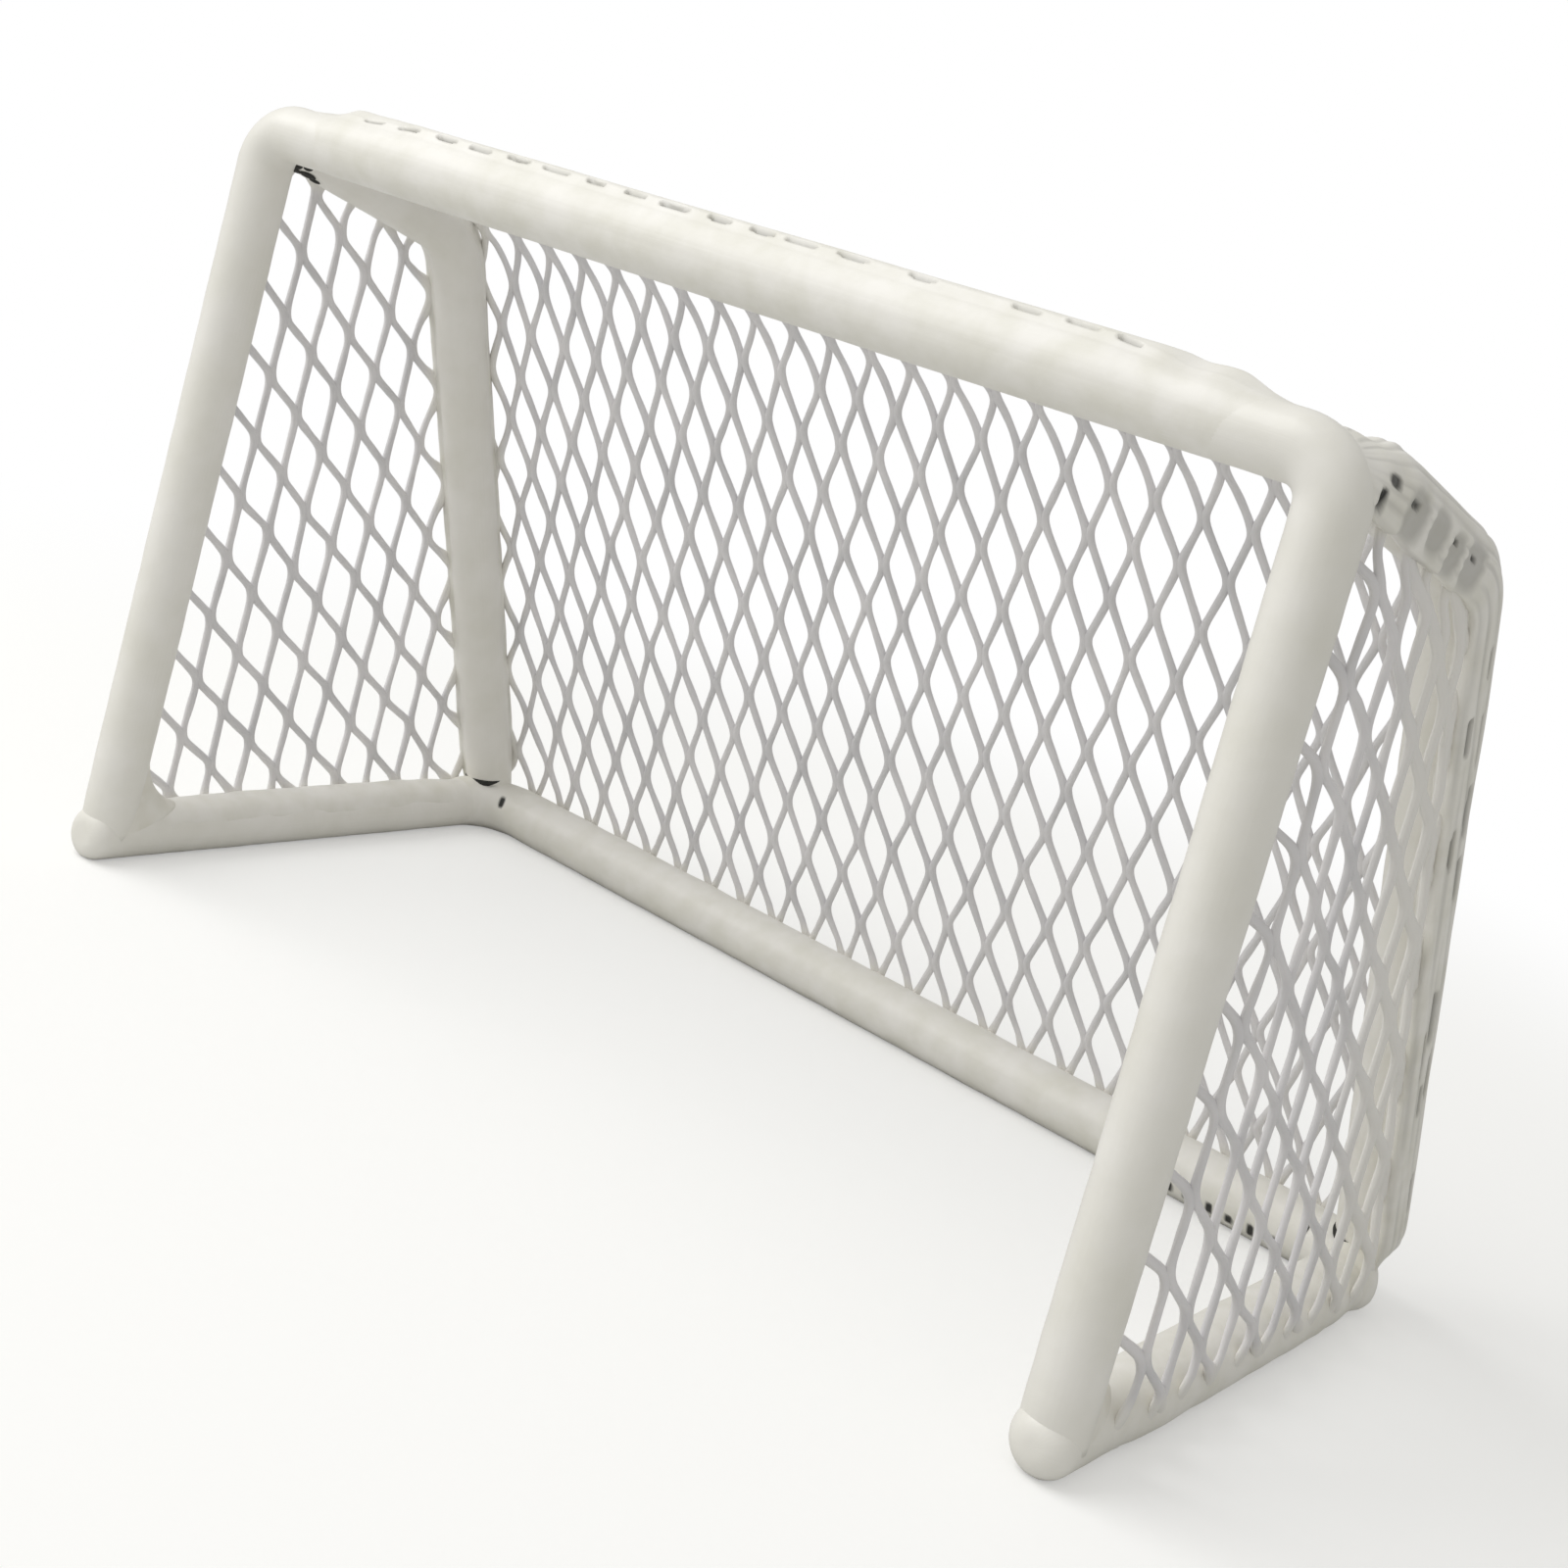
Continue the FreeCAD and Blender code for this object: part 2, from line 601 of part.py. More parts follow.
def hem(label, start, along, first, turn, length, pitch):
    """A sleeve round a bar, from a start point along the bar's axis.

    It begins in the direction first, goes round the axis by turn degrees, and has a row of
    gaps one mesh apart.
    """
    place = axes_place(start, first, along.cross(first), along)
    outer = doc.addObject("Part::Cylinder", label + "_outer")
    bind(outer, "Radius", "S.bar_r + S.hem_gap + S.hem_thick")
    bind(outer, "Angle", turn)
    outer.Height = length
    outer.Placement = place
    inner = doc.addObject("Part::Cylinder", label + "_inner")
    bind(inner, "Radius", "S.bar_r + S.hem_gap")
    inner.Height = length
    inner.Placement = place
    gaps = doc.addObject("Part::Feature", label + "_gaps")
    count = int((length - 2 * EDGE) / pitch)
    first_gap = (length - (count - 1) * pitch) / 2
    angle = size("slot_turn")
    boxes = []
    for k in range(count):
        middle = first_gap + k * pitch
        box = Part.makeBox(BAR_R * 2, size("slot_wide"), size("slot_long"),
                           Vector(BAR_R / 2, -size("slot_wide") / 2, middle - size("slot_long") / 2))
        box.rotate(Vector(), Vector(0, 0, 1), angle)
        boxes.append(box)
    gaps.Shape = Part.makeCompound(boxes)
    gaps.Placement = place
    keep(cut_chain(label, outer, [inner, gaps]), label)


END = size("hem_end")
FOLD = math.radians(size("fold_start"))

# Crossbar, from the roof net forward over the top
half_bar = POST_X - size("front_bend")
hem("crossbar_hem", Vector(-half_bar, GOAL_Y, BAR_Z), ACROSS, ROOF_OUT, "S.hem_turn",
    2 * half_bar, size("back_pitch"))

# Rear base bar, from the back net over the top to the front
half_bar = POST_X - size("base_bend")
lifted = BACK_OUT * math.cos(FOLD) + ACROSS.cross(BACK_OUT) * math.sin(FOLD)
hem("back_base_hem", Vector(-half_bar, BASE_Y, RAIL_Z), ACROSS, lifted, "S.fold_turn",
    2 * half_bar, size("back_pitch"))

for side, sign in SIDES:
    out = Vector(sign, 0, 0)
    x = sign * POST_X
    # Side base bar, from behind the bead to the rear bend
    along = Vector(0, -sign, 0)
    front_y = GOAL_Y + BAR_R + size("bead") + END
    rear_y = BASE_Y - size("base_bend")
    lifted = out * math.cos(FOLD) + along.cross(out) * math.sin(FOLD)
    hem(side + "_base_hem", Vector(x, rear_y if sign > 0 else front_y, RAIL_Z), along, lifted,
        "S.fold_turn", rear_y - front_y, size("side_pitch"))
    # Top rail, from the roof net to the side net
    low = Vector(x, TOP_Y, REAR_Z) + ROOF_UP * SETBACK
    length = ROOF_TOP - SETBACK - size("butt_back") / size("roof_cos") - END
    high = low + ROOF_UP * length
    hem(side + "_top_hem", high if sign > 0 else low, ROOF_UP * -sign, ROOF_OUT, "S.edge_turn",
        length, size("side_pitch"))
    # Upright, from the side net to the back net
    low = Vector(x, BASE_Y, RAIL_Z) + BACK_UP * (size("bar_dia") + END)
    high = Vector(x, BASE_Y, RAIL_Z) + BACK_UP * BACK_TOP
    hem(side + "_upright_hem", low if sign > 0 else high, BACK_UP * sign, out,
        "S.edge_turn", (high - low).Length, size("back_row"))


# Filler beads in the corner behind the foot of each post
for side, sign in SIDES:
    ball = doc.addObject("Part::Sphere", side + "_bead_ball")
    bind(ball, "Radius", "S.bead")
    bind(ball, "Placement.Base.x", "%d * S.post_x" % sign)
    bind(ball, "Placement.Base.y", "S.goal_y + S.bar_r")
    bind(ball, "Placement.Base.z", "S.rail_z + S.bar_r + S.bead_up")
    keep(cut_chain(side + "_foot_bead", ball, [base_wide, front_wide]), side + "_foot_bead")


doc.recompute()

for thing in doc.Objects:
    if "Invalid" in thing.State or "Error" in thing.State:
        raise RuntimeError("%s failed: %s" % (thing.Label, thing.State))
for thing in NODES:
    if thing.Shape.isNull() or not thing.Shape.isValid() or not thing.Shape.Solids:
        raise RuntimeError("%s has no valid shape" % thing.Label)

os.makedirs("parts", exist_ok=True)
for thing in NODES:
    box = thing.Shape.BoundBox
    print("%-20s %2d solids %9.1f mm3  x %.2f..%.2f  y %.2f..%.2f  z %.2f..%.2f" % (
        thing.Label, len(thing.Shape.Solids), thing.Shape.Volume,
        box.XMin, box.XMax, box.YMin, box.YMax, box.ZMin, box.ZMax))
    thing.Shape.exportStep("parts/%s.step" % thing.Label)
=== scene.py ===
# %% [markdown]
# # A small ice hockey goal under white enamel
# The real object is a model goal: three kinds of bent steel bar, a stiff diamond mesh folded
# round them, and one thick coat of white enamel over everything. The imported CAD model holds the
# bars, the holed sheets that stand for the mesh, and the hidden pins. Here each bar gets its
# enamel, each sheet is exchanged for real strands, and the folded edges get their clogged paint.
# The cells below start from the CAD frame, so every new surface lies where the CAD says.

# %% The frame and the libraries
import math
import bpy
import numpy as np
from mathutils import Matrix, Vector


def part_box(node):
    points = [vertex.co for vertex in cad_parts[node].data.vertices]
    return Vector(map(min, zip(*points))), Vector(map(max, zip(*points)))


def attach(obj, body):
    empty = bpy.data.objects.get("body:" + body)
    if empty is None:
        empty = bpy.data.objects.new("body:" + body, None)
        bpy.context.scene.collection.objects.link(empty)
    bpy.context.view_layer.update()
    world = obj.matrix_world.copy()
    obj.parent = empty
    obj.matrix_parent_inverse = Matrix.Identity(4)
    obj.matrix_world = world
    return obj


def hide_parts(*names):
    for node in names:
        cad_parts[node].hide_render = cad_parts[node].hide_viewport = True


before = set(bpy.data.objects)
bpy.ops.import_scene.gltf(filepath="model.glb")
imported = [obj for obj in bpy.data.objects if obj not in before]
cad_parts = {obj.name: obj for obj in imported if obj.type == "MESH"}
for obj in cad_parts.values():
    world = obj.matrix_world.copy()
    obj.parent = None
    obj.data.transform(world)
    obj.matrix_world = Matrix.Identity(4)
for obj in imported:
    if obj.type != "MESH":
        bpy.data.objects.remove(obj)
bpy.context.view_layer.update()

# %% [markdown]
# ## Driving sizes
# A few real sizes in metres drive everything. Places come from the CAD nodes' boxes: the middle
# of the front frame's box in depth is the posts' axis, and a bar radius in from its faces are
# the axes of the posts and of the crossbar.

# %% Sizes of the bars and the goal's axes
MM = 0.001
SIDES = (("left", -1), ("right", 1))
BAR_R = 3.8 * MM
FRONT_BEND, BASE_BEND, SIDE_BEND = 5.2 * MM, 8.0 * MM, 10.0 * MM
TOP_DEEP, REAR_HIGH = 38.4 * MM, 95.6 * MM

front_low, front_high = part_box("front_frame")
base_low, base_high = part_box("base_frame")
POST_X = front_high[0] - BAR_R
GOAL_Y = front_low[1] + BAR_R
BAR_Z = front_high[2] - BAR_R
BASE_Y = base_high[1] - BAR_R
NOSE_Y = base_low[1]
RAIL_Z = base_high[2] - BAR_R
TOP_Y = GOAL_Y + TOP_DEEP
print("axes in mm: post %.2f, goal %.2f, bar %.2f, base %.2f, rail %.2f" % tuple(
    value / MM for value in (POST_X, GOAL_Y, BAR_Z, BASE_Y, RAIL_Z)))

# %% [markdown]
# ## Tubes from whole arrays
# A bar, a strand of mesh and a folded edge are all rings of points carried along a path. A
# Blender curve with a bevel also gives a tube, but its radius can't change with the angle round
# it. So one pair of helpers turns a whole array of rings into a closed mesh. Rings are kept or
# dropped by a mask, so that a strand can stop at the edge of its panel, and every run of rings
# is closed by a cap at each end.


# %% Faces between rings
def ring_faces(keep, sides):
    """Quads and end caps for tubes given as rows of rings.

    keep is True where a ring is used. Vertex number = (row * rings + ring) * sides + side. A
    quad joins two neighbouring rings that are both kept; a run of kept rings starts and ends
    with a cap.
    """
    rows, rings = keep.shape
    number = np.arange(rows * rings).reshape(rows, rings)
    both = keep[:, :-1] & keep[:, 1:]
    lower = number[:, :-1][both][:, None] * sides
    side = np.arange(sides)[None, :]
    after = (side + 1) % sides
    quads = np.stack([lower + side, lower + after, lower + sides + after, lower + sides + side], -1)
    padded = np.pad(keep, ((0, 0), (1, 1)))
    starts = number[keep & ~padded[:, :-2]][:, None] * sides + side[:, ::-1]
    ends = number[keep & ~padded[:, 2:]][:, None] * sides + side
    return quads.reshape(-1, 4), np.concatenate([starts, ends])


quads, caps = ring_faces(np.ones((1, 3), bool), 8)
print("three rings of eight points:", len(quads), "quads and", len(caps), "caps")

# %% [markdown]
# The mesh itself is filled from the whole list at once, because adding faces one by one is slow
# for hundreds of thousands. The UV map is written corner by corner, so that the seam of a tube
# can have two values at one point.


# %% Rings to a mesh object
def ring_mesh(name, rings, keep=None, uv=None):
    """An object from rings of shape (rows, rings, sides, 3), with the loose points left out.

    uv has the shape (rows, rings, sides + 1, 2): its last column is the first one again, one
    turn further on, so that a pattern doesn't run backwards over the seam.
    """
    rows, count, sides = rings.shape[:3]
    keep = np.ones((rows, count), bool) if keep is None else keep
    quads, caps = ring_faces(keep, sides)
    used = np.repeat(keep.reshape(-1), sides)
    renumber = np.cumsum(used) - 1
    faces = renumber[quads].tolist() + renumber[caps].tolist()
    mesh = bpy.data.meshes.new(name)
    mesh.from_pydata(rings.reshape(-1, 3)[used].tolist(), [], faces)
    if uv is not None:
        ring, side = quads[:, 0] // sides, quads[:, 0] % sides
        flat = uv.reshape(rows * count, sides + 1, 2)
        corners = np.stack([flat[ring, side], flat[ring, side + 1],
                            flat[ring + 1, side + 1], flat[ring + 1, side]], 1)
        ends = flat[caps // sides, caps % sides]
        layer = mesh.uv_layers.new(name="UVMap")
        layer.data.foreach_set("uv", np.concatenate([corners.reshape(-1), ends.reshape(-1)]))
    mesh.shade_smooth()
    mesh.update()
    piece = bpy.data.objects.new(name, mesh)
    bpy.context.scene.collection.objects.link(piece)
    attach(piece, "root")
    return piece


# %% [markdown]
# ## Directions, rings and unevenness
# Each point of a path needs its tangent and two directions square to it. They could be carried
# along from point to point, but then the seam may twist. Here one direction is given, such as
# the outside of the goal, so that an angle round a bar means the same side along all of it. A
# brush leaves slow swells, which a noise texture can't put into the outline. A sum of a few
# cosines with seeded phases can, and it closes round the tube without a seam.


# %% Directions, rings and unevenness
def unit(vectors):
    """Each vector divided by its own length."""
    return vectors / np.linalg.norm(vectors, axis=-1, keepdims=True)


def around(points, first, sides, wide, deep):
    """Rings round a path: point + wide * cos(turn) * first + deep * sin(turn) * second.

    second is the tangent crossed with first, so faces made in order point outwards.
    """
    tangent = unit(np.gradient(points, axis=-2))
    second = unit(np.cross(tangent, first))
    first = np.cross(second, tangent)
    turn = np.linspace(0, 2 * np.pi, sides, endpoint=False)
    wide = np.broadcast_to(wide, points.shape[:-1] + (sides,))[..., None]
    deep = np.broadcast_to(deep, points.shape[:-1] + (sides,))[..., None]
    return (points[..., None, :] + wide * np.cos(turn)[:, None] * first[..., None, :]
            + deep * np.sin(turn)[:, None] * second[..., None, :])


def ripple(along, turn, seed, sizes=((31, 1), (17, 2), (11, 1), (7.3, 3), (5.1, 2))):
    """A smooth unevenness between about -1 and 1 over a tube.

    It is a sum of cosines of (along / wavelength + lobes * turn + phase), one for each pair of
    a wavelength in millimetres and a number of lobes round the tube, with seeded phases.
    """
    phases = np.random.default_rng(seed).uniform(0, 2 * np.pi, len(sizes))
    total = sum(np.cos(2 * np.pi * along / (wave * MM) + lobes * turn + phase)
                for (wave, lobes), phase in zip(sizes, phases))
    return total / len(sizes)


def smooth(share):
    """The smooth step s * s * (3 - 2 * s), with s the share cut to 0 and 1."""
    s = np.clip(share, 0, 1)
    return s * s * (3 - 2 * s)


sample = ripple(np.linspace(0, 200 * MM, 400), 0, 1)
print("a sample of the unevenness: %.2f to %.2f" % (sample.min(), sample.max()))

# %% [markdown]
# ## Colour and node helpers
# A colour picked from a screen is sRGB, but Blender's sockets want linear light, so one function
# turns the hex code into it. Materials could be clicked together in the shader editor. As code
# they can be read and changed, and one small helper that adds a node with its links keeps each
# recipe short.


# %% Colour and node helpers
def linear(hex_code):
    """sRGB hex to linear RGBA: ((c + 0.055) / 1.055) ** 2.4, or c / 12.92 where c is dark."""
    parts = [int(hex_code[k:k + 2], 16) / 255 for k in (1, 3, 5)]
    return [c / 12.92 if c <= 0.04045 else ((c + 0.055) / 1.055) ** 2.4 for c in parts] + [1.0]


def add_node(tree, kind, inputs=None, **settings):
    """Add one node: settings are its properties, inputs are values or sockets to link from."""
    node = tree.nodes.new(kind)
    for name, value in settings.items():
        setattr(node, name, value)
    for name, value in (inputs or {}).items():
        if isinstance(value, bpy.types.NodeSocket):
            tree.links.new(value, node.inputs[name])
        else:
            node.inputs[name].default_value = value
    return node


def new_material(name):
    """A material, and its node tree with no node in it."""
    material = bpy.data.materials.new(name)
    material.use_nodes = True
    material.node_tree.nodes.clear()
    return material, material.node_tree


print("a linear white:", [round(value, 3) for value in linear("#f6f4ee")])

# %% [markdown]
# ## Brushed white enamel
# Everything is steel under brushed white enamel. Dried enamel is a hard film: it isn't metallic,
# its IOR is about 1.5, and a thick hand-brushed coat is satin, with faint brush lines along the
# bar and slow pools of a warmer white. An image texture could hold that, but noise needs no
# picture and has no seam. The mesh's white is a little greyer than the bars'. Small gaps in the
# clogged mesh are dark with the shade inside them, and that darkness is painted shade: each piece
# marks the gaps in a vertex attribute.

# %% Colour and relief of brushed enamel
PAINT_IOR, COAT_ROUGH = 1.5, 0.25
GRAIN = 0.9 * MM
BRUSH_LINE = (24 * MM, 0.55 * MM)
RELIEF_DEEP, RELIEF_STRENGTH = 0.06 * MM, 0.35
POOL_FROM, POOL_TO = 0.3, 0.65


def two_whites(tree, place, light, dark, pool):
    """The colour of the enamel away from its marks: two close whites in slow pools."""
    pools = add_node(tree, "ShaderNodeTexNoise", {"Vector": place.outputs["Object"],
                                                  "Scale": 1 / pool, "Detail": 3.0})
    whites = add_node(tree, "ShaderNodeValToRGB", {"Fac": pools.outputs["Fac"]})
    whites.color_ramp.elements[0].position = POOL_FROM
    whites.color_ramp.elements[0].color = linear(dark)
    whites.color_ramp.elements[1].position = POOL_TO
    whites.color_ramp.elements[1].color = linear(light)
    return whites.outputs["Color"]


def marked(tree, mark_name, plain, colour):
    """A colour that goes over to another one where a vertex mark rises from 0 to 1."""
    mark = add_node(tree, "ShaderNodeAttribute", attribute_name=mark_name)
    mix = add_node(tree, "ShaderNodeMix", {"Factor": mark.outputs["Fac"], "A": plain,
                                           "B": linear(colour)}, data_type="RGBA")
    return mix.outputs["Result"]


def brush_relief(tree, place, brush):
    """Fine lines along the piece, brush times as high as the grain between them.

    UVMap runs along the piece in metres, so the lines are a noise stretched along it.
    """
    grain = add_node(tree, "ShaderNodeTexNoise", {"Vector": place.outputs["Object"],
                                                  "Scale": 1 / GRAIN, "Detail": 2.0})
    stretch = (1 / BRUSH_LINE[0], 1 / BRUSH_LINE[1], 1.0)
    lines_place = add_node(tree, "ShaderNodeMapping", {"Vector": place.outputs["UV"],
                                                       "Scale": stretch})
    lines = add_node(tree, "ShaderNodeTexNoise", {"Vector": lines_place.outputs["Vector"],
                                                  "Scale": 1.0, "Detail": 2.0})
    height = add_node(tree, "ShaderNodeMath", {0: lines.outputs["Fac"], 1: brush,
                                               2: grain.outputs["Fac"]}, operation="MULTIPLY_ADD")
    relief = add_node(tree, "ShaderNodeBump", {"Height": height.outputs["Value"],
                                               "Strength": RELIEF_STRENGTH,
                                               "Distance": RELIEF_DEEP})
    return relief.outputs["Normal"]


print("brush lines mm: %.0f long, %.2f apart" % (BRUSH_LINE[0] / MM, BRUSH_LINE[1] / MM))

# %% [markdown]
# The four enamels differ only in their numbers. The bars shine most. The mesh is greyer and
# duller. The clogged edges and the filler have shorter pools, because more paint ran there.


# %% The four enamels
def enamel(name, light, dark, over, gap_shade, brush, rough, coat, pool=9.0 * MM):
    """White enamel: the mark paint goes to thick paint's colour, the mark gap to a painted dark shade.
    """
    material, tree = new_material(name)
    place = add_node(tree, "ShaderNodeTexCoord")
    painted = marked(tree, "paint", two_whites(tree, place, light, dark, pool), over)
    # Where the mark gap rises, the colour goes over to a dark colour that paints the gap's shade.
    shader = add_node(tree, "ShaderNodeBsdfPrincipled", {
        "Base Color": marked(tree, "gap", painted, gap_shade), "Roughness": rough, "IOR": PAINT_IOR,
        "Coat Weight": coat, "Coat Roughness": COAT_ROUGH,
        "Normal": brush_relief(tree, place, brush)})
    add_node(tree, "ShaderNodeOutputMaterial", {"Surface": shader.outputs["BSDF"]})
    return material


BAR_ENAMEL = enamel("brushed_white_enamel", "#f6f4ee", "#eeece3", over="#eeece3", gap_shade="#3a3a38",
                    brush=1.2, rough=0.42, coat=0.25)
MESH_ENAMEL = enamel("enamelled_steel_mesh", "#eeeced", "#dcdbdd", over="#f1efea", gap_shade="#55534f",
                     brush=0.3, rough=0.5, coat=0.1)
# The clogged edges' darkest colour is painted shade for their gaps, slits, holes and grooves.
EDGE_ENAMEL = enamel("clogged_edge_enamel", "#f6f4ee", "#ebe9df", over="#c9c8bf", gap_shade="#262623",
                     brush=0.8, rough=0.45, coat=0.15, pool=5.0 * MM)
FILLER_PAINT = enamel("painted_filler", "#f3f1e9", "#e8e5d9", over="#e8e5d9", gap_shade="#3a3a38",
                      brush=0.5, rough=0.48, coat=0.15, pool=4.0 * MM)
print("enamels:", [m.name for m in (BAR_ENAMEL, MESH_ENAMEL, EDGE_ENAMEL, FILLER_PAINT)])

# %% [markdown]
# ## Drawn steel and painted shade
# The hidden pins are bits of drawn wire. A pin is a true metal, so its base colour is what it
# reflects, and fine drawing marks are a noise in its roughness. The gaps and cracks at the joints
# and the cavity at the left top corner lie in shade, and a plain dark colour paints that shade
# onto them. Two small dark specks on the left upright take the same colour.

# %% Steel of the pins, and the painted shade of gaps and cracks
MARK_SIZE = 0.4 * MM
WIRE_ROUGH = (0.28, 0.45)


def drawn_steel(name):
    """Drawn steel wire: a metal whose roughness varies with a very fine noise."""
    material, tree = new_material(name)
    place = add_node(tree, "ShaderNodeTexCoord")
    marks = add_node(tree, "ShaderNodeTexNoise", {"Vector": place.outputs["Object"],
                                                  "Scale": 1 / MARK_SIZE, "Detail": 4.0})
    rough = add_node(tree, "ShaderNodeMapRange", {"Value": marks.outputs["Fac"],
                                                  "To Min": WIRE_ROUGH[0],
                                                  "To Max": WIRE_ROUGH[1]})
    shader = add_node(tree, "ShaderNodeBsdfPrincipled", {
        "Base Color": linear("#a9a9ab"), "Metallic": 1.0, "Roughness": rough.outputs["Result"]})
    add_node(tree, "ShaderNodeOutputMaterial", {"Surface": shader.outputs["BSDF"]})
    return material


STEEL = drawn_steel("drawn_steel")
# A plain dark colour for painted shade in gaps, cracks and the left corner, also used for two specks.
SHADE_AND_SPECKS, dark_tree = new_material("painted_shade_and_specks")
dark_shader = add_node(dark_tree, "ShaderNodeBsdfPrincipled", {"Base Color": linear("#2c2c29"),
                                                               "Roughness": 0.8})
add_node(dark_tree, "ShaderNodeOutputMaterial", {"Surface": dark_shader.outputs["BSDF"]})
for node in ("foot_pins", "rear_pins", "corner_pins"):
    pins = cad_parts[node]
    pins.data.materials.clear()
    pins.data.materials.append(STEEL)
print("steels:", STEEL.name, SHADE_AND_SPECKS.name)

# %% [markdown]
# ## Paths of bent bars
# The maker bent each bar round a former, so its axis is straight runs joined by tangent arcs. A
# Bezier curve comes close to that, but its bends aren't true arcs. Here the corners and the bend
# radius are enough: each arc starts and ends where it touches the straight runs.

# %% A path of runs and arcs
PATH_STEP = 1.0 * MM


def bent_path(corners, bend):
    """Points along straight runs joined by arcs of radius bend, about PATH_STEP apart.

    At a corner with directions d1 and d2, turning by t, the arc starts bend * tan(t / 2) before
    the corner: point(a) = start + bend * (sin(a) * d1 + (1 - cos(a)) * n), with n square to d1.
    """
    corners = np.array(corners, float)
    start = corners[0]
    pieces = []
    for before, corner, after in zip(corners, corners[1:], corners[2:]):
        d1, d2 = unit(corner - before), unit(after - corner)
        turn = math.acos(np.clip(d1 @ d2, -1, 1))
        n = unit(d2 - (d2 @ d1) * d1)
        arc_start = corner - d1 * bend * math.tan(turn / 2)
        steps = int(np.linalg.norm(arc_start - start) / PATH_STEP)
        share = np.linspace(0, 1, max(2, steps), endpoint=False)
        pieces.append(start + share[:, None] * (arc_start - start))
        a = np.linspace(0, turn, max(8, int(bend * turn / PATH_STEP * 2)), endpoint=False)[:, None]
        pieces.append(arc_start + bend * (np.sin(a) * d1 + (1 - np.cos(a)) * n))
        start = corner + d2 * bend * math.tan(turn / 2)
    share = np.linspace(0, 1, max(2, int(np.linalg.norm(corners[-1] - start) / PATH_STEP)))
    pieces.append(start + share[:, None] * (corners[-1] - start))
    return np.concatenate(pieces)


def lengths(path):
    """The length along a path from its start to each of its points."""
    return np.concatenate([[0], np.cumsum(np.linalg.norm(np.diff(path, axis=0), axis=1))])


sample = bent_path([(0, 0, 0), (20 * MM, 0, 0), (20 * MM, 20 * MM, 0)], FRONT_BEND)
print("a sample corner: %d points, %.1f mm long" % (len(sample), lengths(sample)[-1] / MM))

# %% [markdown]
# ## Painted bars
# The CAD has the ideal round bar. The real one has a coat of enamel that a brush left a few
# hundredths thicker here and there, so its outline is never dead straight. A displacement
# modifier could do that on a fine CAD mesh, but rings on the same path are lighter, carry a UV
# map along the bar for the brush lines, and let the radius change with place and angle. Each bar
# replaces its CAD node.

# %% A painted bar
BAR_SIDES = 48
TURNS = np.linspace(0, 2 * np.pi, BAR_SIDES, endpoint=False)
UNEVEN = 0.05 * MM


def bar(name, node, path, first, seed, radius):
    """A painted bar along a path: radius * (1 + UNEVEN * ripple / BAR_R), with a UV map in metres.

    radius has one row for each ring, with one value or one for each of the turns.
    """
    along = lengths(path)
    turn = np.append(TURNS, 2 * np.pi)
    swell = (radius * (1 + UNEVEN / BAR_R * ripple(along[:, None], TURNS[None, :], seed)))[None]
    first = np.broadcast_to(first, path.shape)[None]
    rings = around(path[None], first, BAR_SIDES, swell, swell)
    uv = np.stack(np.broadcast_arrays(along[:, None], turn[None, :] * BAR_R), -1)[None]
    piece = ring_mesh(name, rings, uv=uv)
    piece.data.materials.append(BAR_ENAMEL)
    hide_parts(node)
    print(name, "rings", len(path), "length mm %.0f" % (along[-1] / MM))
    return piece


print("points round a bar:", BAR_SIDES)

# %% [markdown]
# ## The front frame
# Both posts and the crossbar are one bar with two bends. Two cylinders and a corner piece would
# leave a joint that the real one hasn't, so it is one path. Each post ends at the height of the
# base bar's axis, inside that bar. Its front is drawn in there, so that it stays under the
# rounded nose of the base, on the right more than on the left.

# %% Front frame: both posts and the crossbar
FOOT_HIGH = 4.5 * MM
RIGHT_CUT, LEFT_CUT = 1.0 * MM, 0.3 * MM
front_path = bent_path([(-POST_X, GOAL_Y, RAIL_Z), (-POST_X, GOAL_Y, BAR_Z),
                        (POST_X, GOAL_Y, BAR_Z), (POST_X, GOAL_Y, RAIL_Z)], FRONT_BEND)
above_foot = np.clip((front_path[:, 2] - RAIL_Z) / FOOT_HIGH, 0, 1)[:, None]
tip_cut = np.where(front_path[:, :1] > 0, RIGHT_CUT, LEFT_CUT)
towards_front = np.clip(-np.cos(TURNS), 0, 1)[None, :]
front_radius = BAR_R - tip_cut * (1 - above_foot) ** 2 * towards_front ** 2
bar("front_bar", "front_frame", front_path, (0, 1, 0), 11, front_radius)

# %% [markdown]
# ## The base
# The base bar lies on the ground and ends in two rounded noses in front of the posts. A
# bevel modifier would round both ends alike, but here the right one is rounder. So the last
# rings shrink along a quarter circle. The underside is filed to a narrow flat land, on which
# the goal stands: the points below the ground are simply lifted to it.

# %% Base frame with rounded noses and a flat land
NOSE_RINGS = 9
LEFT_ROUND, RIGHT_ROUND, NOSE_LONG = 2.3 * MM, 3.0 * MM, 3.2 * MM


def nose(x, round_by):
    """Rings of a rounded end: y and radius follow a quarter circle of radius round_by."""
    a = np.linspace(0, np.pi / 2, NOSE_RINGS)
    y = NOSE_Y + round_by * (1 - np.cos(a))
    points = np.stack([np.full(NOSE_RINGS, x), y, np.full(NOSE_RINGS, RAIL_Z)], 1)
    return points, BAR_R - round_by * (1 - np.sin(a))


